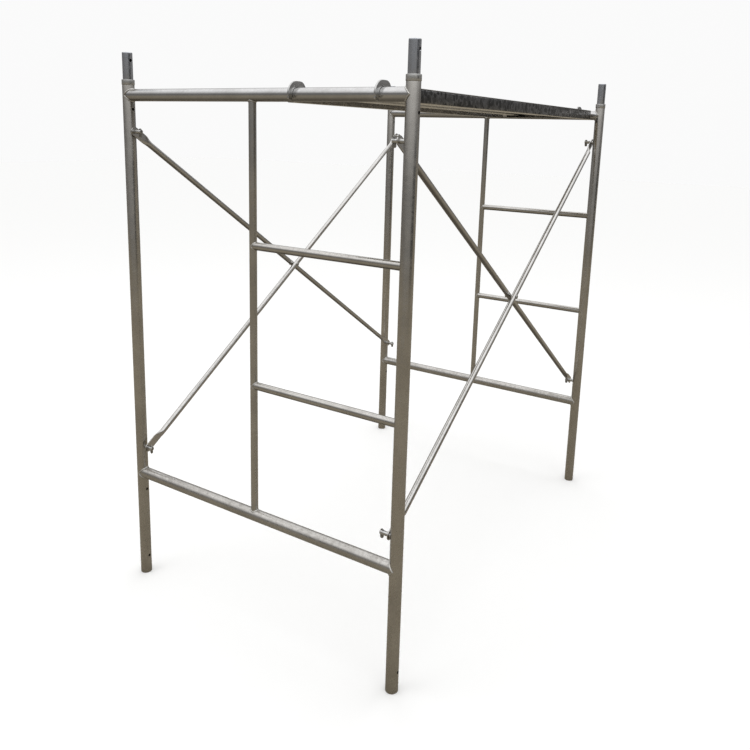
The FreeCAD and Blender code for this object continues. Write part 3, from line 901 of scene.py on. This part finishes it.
    def stud(self) -> Shape:
        """Make one slotted stud of the left leg and copy it to the other height."""
        skin, tip = self.left_leg.high.x, NodeBox.of("front_left_studs").high.x
        root = Vector((skin - 1.5 * MM, self.left_leg.centre.y, self.stud_levels[0]))
        end = Vector((tip, self.left_leg.centre.y, self.stud_levels[0]))
        stud = Shape.rod("stud", self.stud_radius, root, end, 36)
        stud.select(Pick.EDGES, lambda edge: all(abs(v.co.x - tip) < NEAR for v in edge.verts))
        stud.bevel(1.2 * MM, 3)
        low = Vector((skin + self.slot_start, root.y - self.slot_half, root.z - 2 * self.stud_radius))
        high = Vector((tip + MM, root.y + self.slot_half, root.z + 2 * self.stud_radius))
        stud.cut([Shape.block("slot", low, high)]).ease(0.3 * MM, 60.0)
        return self.twice(stud)

    def pivot(self) -> Shape:
        """Make one latch rivet of the left leg and copy it to the other height."""
        box = NodeBox.of("front_left_pivots")
        middle = box.at(self.stud_levels[0])
        half = Vector((0, box.size.y / 2 + 0.5 * MM, 0))
        rivet = Shape.through("rivet", box.size.x / 2, middle, half, 20)
        rivet.select(Pick.EDGES, lambda edge: any(len(face.verts) > 4 for face in edge.link_faces))
        return self.twice(rivet.bevel(0.6 * MM, 3))

    def twice(self, shape: Shape) -> Shape:
        """Join what sits at the lower stud with a copy of it at the upper one."""
        rise = UP * (self.stud_levels[1] - self.stud_levels[0])
        return Shape.joined(shape.obj.name, [shape, shape.copy("upper", Matrix.Translation(rise))])

    def welds(self) -> None:
        """Lay one bead of each kind, copy it to every joint of a frame and copy that to the other frame."""
        left, right, inner = self.left_leg.at, self.right_leg.at, self.upright.at
        bars, rungs = self.levels("bottom_bar", "top_bar"), self.levels("lower_rung", "upper_rung")
        full, fine = WeldBead(radius=3.2 * MM, dab=3.8 * MM), WeldBead(radius=0.8 * MM, dab=1.4 * MM)

        def on_legs(heights: Iterable[float]) -> list[tuple[Vector, Vector, Vector]]:
            """The joints of both legs at these heights."""
            return ([(left(z), RIGHTWARD, UP) for z in heights]
                    + [(right(z), -RIGHTWARD, UP) for z in heights])

        slim = min(self.rung_radius, self.upright_radius)
        joints = [
            (full.saddle("bar_bead", self.bar_radius, self.leg_radius), on_legs(bars)),
            (WeldBead().saddle("upright_bead", self.upright_radius, self.bar_radius),
             [(inner(bars[0]), UP, RIGHTWARD), (inner(bars[1]), -UP, RIGHTWARD)]),
            (WeldBead().saddle("rung_bead", self.rung_radius, self.leg_radius),
             [(right(z), -RIGHTWARD, UP) for z in rungs]),
            (WeldBead().saddle("inner_bead", slim, self.upright_radius),
             [(inner(z), RIGHTWARD, UP) for z in rungs]),
            (fine.saddle("stud_bead", self.stud_radius, self.leg_radius), on_legs(self.stud_levels)),
        ]
        placed = []
        for bead, places in joints:
            for index, (point, branch, main) in enumerate(places):
                turn = Matrix((branch, main.cross(branch), main)).transposed().to_4x4()
                placed.append(bead.copy(f"{bead.obj.name}_{index}", Matrix.Translation(point) @ turn))
            bead.discard()
        beads = Shape.joined("weld_beads", placed)
        for end in End:
            shift = NodeBox.of(f"{end.value}_left_leg").centre - self.left_leg.centre
            beads.copy(f"{end.value}_weld_beads", Matrix.Translation(shift)).dress(
                WELD_FINISH, "frames", angle=60.0)
        beads.discard()

    def build(self) -> None:
        """Make both frames."""
        legs = [f"{side.value}_leg" for side in Side]
        self.set_out(self.leg(), "tube", LEG_FINISH, "front_left_leg", legs)
        bar = self.bar()
        self.set_out(bar.copy("low_bar", Matrix()), "tube", BAR_FINISH, "front_top_bar", ("bottom_bar",))
        self.set_out(bar, "tube", TOP_BAR_FINISH, "front_top_bar", ("top_bar",))
        self.set_out(self.inner_upright(), "tube", LADDER_FINISH, "front_inner_upright", ("inner_upright",))
        self.set_out(self.rung(), "tube", LADDER_FINISH, "front_lower_rung", ("lower_rung", "upper_rung"))
        self.set_out(self.stud(), "slotted", STUD_FINISH, "front_left_studs",
                     [f"{side.value}_studs" for side in Side])
        self.set_out(self.pivot(), "riveted", STUD_FINISH, "front_left_pivots",
                     [f"{side.value}_pivots" for side in Side])
        self.welds()


@dataclass
class GravityLatches:
    """The eight toggles that hang in the studs."""

    corner: float = 5.6 * MM
    hole: float = 2.6 * MM

    def build(self) -> None:
        """Model one toggle and copy it to every stud."""
        box = NodeBox.of("front_left_lower_latch")
        pivot = NodeBox.of("front_left_pivots")
        axis = pivot.at(pivot.low.z + pivot.size.x / 2)
        toggle = Shape.block("toggle", box.low, box.high)
        toggle.select(Pick.EDGES, lambda edge: abs(edge.verts[0].co.y - edge.verts[1].co.y) > MM)
        toggle.bevel(self.corner, 6)
        reach = Vector((0, 0.02, 0))
        toggle.cut([Shape.through("hole", self.hole, axis, reach, 24)]).ease(0.5 * MM, 50.0)
        for corner in corners():
            for level in Level:
                name = f"{corner}_{level.value}_latch"
                toggle.copy(f"{name}_toggle", box.way_to(name)).dress(LATCH_FINISH, name, (name,))
        toggle.discard()


# ------------------------------------------------------------------ cross braces


@dataclass
class CrossBraces:
    """Two crossed tubes on each side, flattened at their ends and riveted where they cross."""

    tube_radius: float = 10.85 * MM
    paddle_half: float = 16.5 * MM
    sheet_half: float = 1.8 * MM
    paddle: float = 45.0 * MM
    taper: float = 40.0 * MM
    eye: float = 8.0 * MM
    joggle: float = 5.55 * MM
    squeeze: float = 0.02
    sides: int = 24
    stations: tuple[tuple[float, float], ...] = ((0.25, 0.22), (0.5, 0.26), (0.8, 0.28), (1.0, 0.24))
    round_steps: tuple[int, ...] = (15, 30, 45, 58, 70, 80, 87)

    def flatten(self, brace: Shape, eye: float, outward: float) -> None:
        """Flatten one end of a brace into its paddle.

        Args:
            brace: The brace, along its own Z.
            eye: The height of the eye's middle.
            outward: 1 at the high end, -1 at the low one.
        """
        here = eye - outward * (self.paddle + self.taper)
        radius, shift = self.tube_radius, 0.0
        width, thick, spread = 1.0, 1.0, 0.0

        def ring(face_height: float) -> None:
            """Pick the closing face at a height."""
            brace.select(Pick.FACES, lambda face: len(face.verts) > 4
                         and abs(face.calc_center_median().z - face_height) < SAME)

        for share, part in self.stations:
            step = self.taper * part
            smooth = share * share * (3 - 2 * share)
            ring(here)
            brace.extrude(UP * outward * step)
            here += outward * step
            new_width = 1 + smooth * (self.paddle_half / radius - 1)
            new_thick = 1 - smooth * (1 - self.squeeze)
            centre = Vector((shift, 0, here))
            new_spread = smooth * (self.sheet_half - self.squeeze * radius)
            if spread:
                self.spread(brace, here, shift, -spread)
            brace.select(Pick.VERTICES, lambda vert: abs(vert.co.z - here) < SAME)
            brace.resize((new_thick / thick, new_width / width, 1.0), centre)
            new_shift = -smooth * self.joggle
            brace.move(Vector((new_shift - shift, 0, 0)))
            self.spread(brace, here, new_shift, new_spread)
            width, thick, spread, shift = new_width, new_thick, new_spread, new_shift
        ring(here)
        brace.extrude(UP * outward * self.paddle)
        here += outward * self.paddle
        before = 1.0
        for degrees in self.round_steps:
            turn = math.radians(degrees)
            target = eye + outward * self.paddle_half * math.sin(turn)
            ring(here)
            brace.extrude(UP * (target - here))
            here = target
            brace.resize((1.0, math.cos(turn) / before, 1.0), Vector((shift, 0, here)))
            before = math.cos(turn)

    def spread(self, brace: Shape, height: float, middle: float, offset: float) -> None:
        """Push the two halves of a ring apart across the paddle.

        Args:
            brace: The brace.
            height: Where the ring lies.
            middle: The ring's middle along X.
            offset: How far each half moves.
        """
        for sign in (1, -1):
            brace.select(Pick.VERTICES, lambda vert: abs(vert.co.z - height) < SAME
                         and sign * (vert.co.x - middle) > SAME)
            brace.move(Vector((sign * offset, 0, 0)))

    def master(self, span: float) -> Shape:
        """Model one brace along +Z, with its paddles off its own axis towards -X.

        Args:
            span: From eye to eye.

        Returns:
            The brace.
        """
        start = self.paddle + self.taper
        brace = Shape.rod("brace", self.tube_radius, UP * start, UP * (span - start), self.sides)
        self.flatten(brace, 0.0, -1)
        self.flatten(brace, span, 1)
        brace.face_outwards()
        reach = Vector((0.03, 0, 0))
        brace.cut(Shape.through("eye", self.eye, UP * level, reach, 32) for level in (0.0, span))
        return brace

    def rivet(self, side: Side) -> None:
        """Make the domed rivet that holds a pair together.

        Args:
            side: Which pair.
        """
        name = f"{side.value}_brace_rivet"
        box = NodeBox.of(name)
        low, high = (Vector((x, box.centre.y, box.centre.z)) for x in (box.low.x, box.high.x))
        thick, radius = Vector((4.0 * MM, 0, 0)), box.size.z / 2
        parts = [Shape.rod("shank", radius * 0.47, low + thick / 2, high - thick / 2, 24)]
        for tip, base in ((low, low + thick), (high, high - thick)):
            head = Shape.rod("head", radius, tip, base, 32)
            head.select(Pick.EDGES, lambda edge: all(abs(v.co.x - tip.x) < NEAR for v in edge.verts))
            parts.append(head.bevel(3.4 * MM, 6).leave())
        Shape.joined(f"{name}_domed", parts).dress(STUD_FINISH, f"{side.value}_braces", (name,))

    def build(self) -> None:
        """Model one brace, copy it to its four places and rivet each pair."""
        studs = NodeBox.of("front_left_studs")
        radius = studs.size.y / 2
        run = NodeBox.of("rear_left_studs").centre.y - studs.centre.y
        rise = studs.size.z - 2 * radius
        brace = self.master(math.hypot(run, rise))
        for side in Side:
            for label, rising in (("first", 1), ("second", -1)):
                name = f"{side.value}_{label}_brace"
                box = NodeBox.of(name)
                joggle = 1 if box.centre.x > NodeBox.of(f"{side.value}_brace_rivet").centre.x else -1
                axis = Vector((0, rising * run, rise)).normalized()
                across = Vector((joggle, 0, 0))
                turn = Matrix((across, axis.cross(across), axis)).transposed().to_4x4()
                foot = Vector((box.centre.x, -rising * run / 2, studs.low.z + radius))
                brace.copy(f"{name}_tube", Matrix.Translation(foot) @ turn).dress(
                    BRACE_FINISH, f"{side.value}_braces", (name,))
            self.rivet(side)
        brace.discard()


# ------------------------------------------------------------------ coupling pins


@dataclass
class CouplingPins:
    """The tubes that stand in the legs' tops, each with its stop collar."""

    wall: float = 2.8 * MM
    chamfer: float = 2.0 * MM
    hole: float = 5.5 * MM
    hole_inset: float = 26.0 * MM
    collar_wall: float = 4.2 * MM

    def build(self) -> None:
        """Model one pin and one collar and copy them to the four legs."""
        box = NodeBox.of("front_left_coupling_pin")
        foot, head, radius = box.at(box.low.z), box.at(box.high.z), box.size.x / 2
        pin = Shape.tube("pin", radius, radius - self.wall, foot, head, rim=0.4 * MM)
        pin.select(Pick.EDGES, lambda edge: all(
            v.co.z > head.z - MM and (v.co - head).xy.length > radius - 0.1 * MM for v in edge.verts)
            and abs(edge.verts[0].co.z - edge.verts[1].co.z) < SAME)
        pin.bevel(self.chamfer, 3)
        across = Vector((0.04, 0, 0))
        pin.cut(Shape.through("hole", self.hole, point, across, 28)
                for point in (foot + UP * self.hole_inset, head - UP * self.hole_inset))
        # Painted shade: the pin's bore is painted near black.
        pin.paint(BORE_SHADE_FINISH, lambda face: all(
            (vert.co - foot).xy.length < radius - self.wall + 0.3 * MM for vert in face.verts))
        # Painted highlight: the top's upward-facing faces are painted near white.
        pin.paint(RIM_HIGHLIGHT_FINISH, lambda face: face.normal.z > 0.2 and all(
            vert.co.z > head.z - 1.5 * self.chamfer for vert in face.verts))
        ring = NodeBox.of("front_left_collar")
        base, radius = ring.at(ring.low.z), ring.size.x / 2
        collar = Shape.tube("collar", radius, radius - self.collar_wall, base, base + UP * ring.size.z,
                            rim=1.4 * MM)
        for corner in corners():
            for shape, kind, home, finish in ((pin, "coupling_pin", box, PIN_FINISH),
                                              (collar, "collar", ring, COLLAR_FINISH)):
                node = f"{corner}_{kind}"
                shape.copy(f"{node}_turned", home.way_to(node)).dress(finish, f"{corner}_pin", (node,))
        pin.discard()
        collar.discard()


# ------------------------------------------------------------------ catwalk


@dataclass
class Catwalk:
    """The perforated tread on its rails, end channels and stiffeners, with four plate hooks."""

    rows: int = 6
    tread_pitch: float = 60.0 * MM
    row_pitch: float = 74.0 * MM
    hole: float = 7.0 * MM
    rim_height: float = 2.0 * MM
    rim_steps: tuple[tuple[float, float, float], ...] = (
        (2.2 * MM, 1.2 * MM, 0.75), (1.2 * MM, 0.2 * MM, 0.25))
    sheet: float = 2.0 * MM
    rail_sheet: float = 2.5 * MM
    end_sheet: float = 3.0 * MM
    stiffener_sheet: float = 1.8 * MM
    bend: float = 4.0 * MM

    def tread(self) -> None:
        """Make the tread: one tile with a raised hole, repeated along and across."""
        box = NodeBox.of("deck")
        count = int((box.size.y + 4 * MM) // self.tread_pitch)
        first = Vector((box.centre.x - (self.rows - 1) / 2 * self.row_pitch,
                        box.centre.y - (count - 1) / 2 * self.tread_pitch, box.high.z))
        Shape.clear()
        bpy.ops.mesh.primitive_plane_add(size=1.0)
        tile = Shape.new("tile").enter()
        bpy.ops.mesh.select_all(action="SELECT")
        tile.resize((self.row_pitch, self.tread_pitch, 1.0), Vector())
        bpy.ops.mesh.subdivide(number_cuts=3)
        bpy.ops.mesh.select_mode(type="VERT")
        tile.select(Pick.VERTICES, lambda vert: not vert.is_boundary)
        bpy.ops.mesh.delete(type="VERT")
        bpy.ops.mesh.primitive_circle_add(vertices=16, radius=self.hole + 2.2 * MM)
        tile.select(Pick.EDGES, lambda edge: True)
        bpy.ops.mesh.bridge_edge_loops()
        tile.select(Pick.EDGES, lambda edge: edge.is_boundary
                    and all(v.co.xy.length < self.hole + 3 * MM for v in edge.verts))
        for was, now, rise in self.rim_steps:
            bpy.ops.mesh.extrude_edges_move(
                TRANSFORM_OT_translate={"value": (0, 0, rise * self.rim_height)})
            share = (self.hole + now) / (self.hole + was)
            tile.resize((share, share, 1.0), Vector())
        tile.leave().obj.data.transform(Matrix.Translation(first))
        for axis, number, pitch in ((0, self.rows, self.row_pitch), (1, count, self.tread_pitch)):
            offset = [0.0, 0.0, 0.0]
            offset[axis] = pitch
            tile.modify("ARRAY", count=number, use_relative_offset=False, use_constant_offset=True,
                        constant_offset_displace=offset, use_merge_vertices=True, merge_threshold=1e-5)
        for sign, edge_x in ((-1, box.low.x), (1, box.high.x)):
            tile.select(Pick.EDGES, lambda edge: edge.is_boundary and all(
                abs(v.co.x - (box.centre.x + sign * self.rows * self.row_pitch / 2)) < 1e-4
                for v in edge.verts))
            margin = edge_x - (box.centre.x + sign * self.rows * self.row_pitch / 2)
            bpy.ops.mesh.extrude_edges_move(TRANSFORM_OT_translate={"value": (margin, 0, 0)})
        for level, normal in ((box.low.y, -1.0), (box.high.y, 1.0)):
            bpy.ops.mesh.select_all(action="SELECT")
            bpy.ops.mesh.bisect(plane_co=(0, level, 0), plane_no=(0, normal, 0), clear_outer=True)
        tile.face_outwards(upwards=True)
        tile.modify("SOLIDIFY", thickness=self.sheet, offset=-1.0)
        Shape.joined("deck_tread", [tile]).dress(DECK_FINISH, "catwalk", ("deck",), angle=50.0)

    def channel(self, name: str, height: float, flange: float, length: float, sheet: float) -> Shape:
        """Fold a channel: web on x = 0, flanges towards +X, its length centred along Y.

        Args:
            name: Its name.
            height: Its height along Z, from 0.
            flange: Its depth along X.
            length: Its length.
            sheet: The thickness of its sheet.

        Returns:
            The channel.
        """
        Shape.clear()
        bpy.ops.mesh.primitive_plane_add(size=1.0, rotation=(0.0, -math.pi / 2, 0.0))
        fold = Shape.new(name).enter()
        bpy.ops.mesh.select_all(action="SELECT")
        fold.resize((1.0, length, height), Vector())
        fold.move(Vector((0, 0, height / 2)))
        for level in (0.0, height):
            fold.select(Pick.EDGES, lambda edge: all(
                abs(v.co.z - level) < SAME and abs(v.co.x) < SAME for v in edge.verts))
            bpy.ops.mesh.extrude_edges_move(TRANSFORM_OT_translate={"value": (flange, 0, 0)})
        fold.select(Pick.EDGES, lambda edge: all(abs(v.co.x) < SAME for v in edge.verts)
                    and abs(edge.verts[0].co.y - edge.verts[1].co.y) > length / 2)
        fold.bevel(self.bend, 4)
        fold.select(Pick.FACES, lambda face: True)
        bpy.ops.mesh.normals_make_consistent(inside=False)
        mesh = bmesh.from_edit_mesh(fold.obj.data)
        web = max(mesh.faces, key=lambda face: abs(face.normal.x) * face.calc_area())
        if web.normal.x > 0:
            bpy.ops.mesh.flip_normals()
        fold.modify("SOLIDIFY", thickness=sheet, offset=-1.0)
        return fold.ease(0.4 * MM, 60.0)

    def framing(self) -> None:
        """Make the rails, the end channels and the stiffeners."""
        rail = NodeBox.of("left_rail")
        fold = self.channel("rail", rail.size.z, rail.size.x, rail.size.y, self.rail_sheet)
        # The inner face of each rail web keeps the lighter trough steel; the outer faces carry the painted
        # dark reflection.
        fold.paint(STIFFENER_FINISH, lambda face: face.normal.x > 0.7)
        for side in Side:
            box = NodeBox.of(f"{side.value}_rail")
            turned = Matrix.Rotation(0.0 if side is Side.LEFT else math.pi, 4, "Z")
            at = Vector((box.low.x if side is Side.LEFT else box.high.x, box.centre.y, box.low.z))
            fold.copy(f"{side.value}_rail_folded", Matrix.Translation(at) @ turned).dress(
                RAIL_DARK_REFLECTION_FINISH, "catwalk", (f"{side.value}_rail",))
        fold.discard()
        channel = NodeBox.of("front_end_channel")
        fold = self.channel("end", channel.size.z, channel.size.y, channel.size.x, self.end_sheet)
        # The end channels wear the same painted dark reflection as the rails.
        for end in End:
            box = NodeBox.of(f"{end.value}_end_channel")
            sign = 1.0 if end is End.FRONT else -1.0
            at = Vector((box.centre.x, box.low.y if end is End.FRONT else box.high.y, box.low.z))
            turned = Matrix.Rotation(sign * math.pi / 2, 4, "Z")
            fold.copy(f"{end.value}_end_channel_folded", Matrix.Translation(at) @ turned).dress(
                RAIL_DARK_REFLECTION_FINISH, "catwalk", (f"{end.value}_end_channel",))
        fold.discard()
        trough = NodeBox.of("middle_stiffener")
        fold = self.channel("trough", trough.size.x, trough.size.z, trough.size.y, self.stiffener_sheet)
        for name in ("left", "middle", "right"):
            box = NodeBox.of(f"{name}_stiffener")
            at = Vector((box.high.x, box.centre.y, box.low.z))
            turned = Matrix(((0, 0, -1, 0), (0, 1, 0, 0), (1, 0, 0, 0), (0, 0, 0, 1)))
            fold.copy(f"{name}_stiffener_folded", Matrix.Translation(at) @ turned).dress(
                STIFFENER_FINISH, "catwalk", (f"{name}_stiffener",))
        fold.discard()

    def hooks(self) -> None:
        """Ease one plate hook, copy it to the four corners and weld each to its end channel."""
        home = NodeBox.of("front_left_hook")
        plate = Shape.of_node("plate", "front_left_hook").ease(0.9 * MM, 30.0, 3)
        bead = WeldBead(radius=2.4 * MM)
        for end in End:
            for side in Side:
                name = f"{end.value}_{side.value}_hook"
                box = NodeBox.of(name)
                plate.copy(f"{name}_eased", home.way_to(name, end is End.REAR)).dress(
                    HOOK_FINISH, "catwalk", (name,), angle=40.0)
                channel = NodeBox.of(f"{end.value}_end_channel")
                face = channel.low.y if end is End.FRONT else channel.high.y
                seams = []
                for offset in (-box.size.x / 2, box.size.x / 2):
                    seam_x = box.centre.x + offset
                    low = Vector((seam_x, face, channel.low.z + 4 * MM))
                    high = Vector((seam_x, face, channel.high.z - 2 * MM))
                    seams.append(bead.straight("seam", low, high))
                Shape.joined(f"{name}_seams", seams).dress(WELD_FINISH, "catwalk", angle=60.0)
        plate.discard()

    def build(self) -> None:
        """Make the whole catwalk."""
        self.tread()
        self.framing()
        self.hooks()


# ------------------------------------------------------------------ studio


@dataclass
class Studio:
    """A pale floor, soft light and the camera."""

    eye: Place = (1.6250, -2.7395, 1.7928)
    turn: Place = (78.5519, -1.5607, 32.4144)
    lens: float = 35.299
    shift: float = -0.1267
    floor_half: float = 30.0
    floor_colour: Rgba = (0.88, 0.88, 0.875, 1.0)
    floor_mirrored: Rgba = (0.25, 0.222, 0.175, 1.0)
    backdrop: Rgba = (0.96, 0.96, 0.96, 1.0)
    room: Rgba = (1.09, 1.09, 1.09, 1.0)
    skyline: Rgba = (0.20, 0.195, 0.19, 1.0)
    front: Rgba = (0.24, 0.238, 0.235, 1.0)
    front_way: Place = (0.47, -0.84, 0.27)
    dim: Rgba = (0.055, 0.055, 0.055, 1.0)
    dim_way: Place = (0.995, 0.10, 0.0)
    sky: Rgba = (1.3, 1.3, 1.31, 1.0)
    lamps: dict[str, tuple[Place, float, float]] = field(default_factory=lambda: {
        "key": ((-2.6, -4.2, 4.4), 3.0, 36.0),
        "fill": ((4.6, -2.6, 3.2), 2.6, 10.0),
        "top": ((0.0, 0.4, 5.6), 4.0, 50.0),
    })

    def camera(self) -> None:
        """Stand the camera at eye height in front of the right front leg."""
        data = bpy.data.cameras.new("camera")
        data.lens, data.sensor_width, data.shift_y = self.lens, 36.0, self.shift
        data.clip_end = 200.0
        data.dof.use_dof = False
        obj = bpy.data.objects.new("camera", data)
        obj.location = self.eye
        obj.rotation_euler = Euler([math.radians(angle) for angle in self.turn])
        bpy.context.scene.collection.objects.link(obj)
        bpy.context.scene.camera = obj

    def floor(self) -> None:
        """Lay the floor, which looks pale but throws only a little light back up at the steel."""
        Shape.clear()
        bpy.ops.mesh.primitive_plane_add(size=2 * self.floor_half, location=(0.0, 0.0, 0.0))
        plane = Shape.new("floor")
        material = bpy.data.materials.new("pale_floor")
        material.use_nodes = True
        material.node_tree.nodes.clear()
        tree = NodeTree(material.node_tree)
        pale = tree.add("ShaderNodeBsdfDiffuse", {"Color": self.floor_colour})
        dull = tree.add("ShaderNodeBsdfDiffuse", {"Color": self.floor_mirrored})
        path = tree.add("ShaderNodeLightPath")
        mixed = tree.add("ShaderNodeMixShader", {0: path.outputs["Is Camera Ray"], 1: dull.outputs[0],
                                                 2: pale.outputs[0]})
        tree.add("ShaderNodeOutputMaterial", {"Surface": mixed.outputs[0]})
        plane.obj.data.materials.append(material)

    def world(self) -> None:
        """Surround the object with soft light, and mirror a sky above a dull band in its steel."""
        world = bpy.data.worlds.new("studio")
        world.use_nodes = True
        world.node_tree.nodes.clear()
        tree = NodeTree(world.node_tree)
        ray = tree.add("ShaderNodeTexCoord").outputs["Generated"]
        height = tree.add("ShaderNodeSeparateXYZ", {0: ray}).outputs[2]
        toward, aside = (tree.add("ShaderNodeVectorMath", {0: ray, 1: where},
                                  operation="DOT_PRODUCT").outputs["Value"]
                         for where in (self.front_way, self.dim_way))
        above = tree.ramp(height, 0.15, 0.8)
        colour = tree.mix(tree.ramp(toward, 0.35, 0.98), self.skyline, self.front)
        colour = tree.mix(tree.ramp(aside, 0.86, 0.97), colour, self.dim)
        colour = tree.mix(above, colour, self.sky)
        seen = tree.add("ShaderNodeBackground", {"Color": self.backdrop, "Strength": 1.0})
        soft = tree.add("ShaderNodeBackground", {"Color": self.room, "Strength": 1.0})
        mirrored = tree.add("ShaderNodeBackground", {"Color": colour, "Strength": 1.0})
        path = tree.add("ShaderNodeLightPath")
        lit = tree.add("ShaderNodeMixShader", {0: path.outputs["Is Glossy Ray"], 1: soft.outputs[0],
                                               2: mirrored.outputs[0]})
        mixed = tree.add("ShaderNodeMixShader", {0: path.outputs["Is Camera Ray"], 1: lit.outputs[0],
                                                 2: seen.outputs[0]})
        tree.add("ShaderNodeOutputWorld", {"Surface": mixed.outputs[0]})
        bpy.context.scene.world = world

    def lamp(self, name: str, place: Place, size: float, power: float) -> None:
        """Hang a square soft box that faces the object.

        Args:
            name: Its name.
            place: Where it hangs.
            size: Its side.
            power: Its power in watts.
        """
        data = bpy.data.lights.new(name, "AREA")
        data.shape, data.size, data.energy = "SQUARE", size, power
        obj = bpy.data.objects.new(name, data)
        obj.location = place
        obj.rotation_euler = (Vector((0, 0, 1.0)) - Vector(place)).to_track_quat("-Z", "Y").to_euler()
        obj.visible_glossy = False
        bpy.context.scene.collection.objects.link(obj)

    def build(self) -> None:
        """Set up everything that is not the object."""
        self.camera()
        self.floor()
        self.world()
        for name, (place, size, power) in self.lamps.items():
            self.lamp(name, place, size, power)
        view = bpy.context.scene.view_settings
        view.view_transform, view.look = "Standard", "None"


def main() -> None:
    """Build the section and its surroundings."""
    logging.basicConfig(level=logging.INFO, format="%(name)s: %(message)s")
    for assembly in (Studio(), LadderFrames(), GravityLatches(), CrossBraces(), CouplingPins(), Catwalk()):
        assembly.build()
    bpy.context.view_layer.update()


if __name__ == "__main__":
    main()
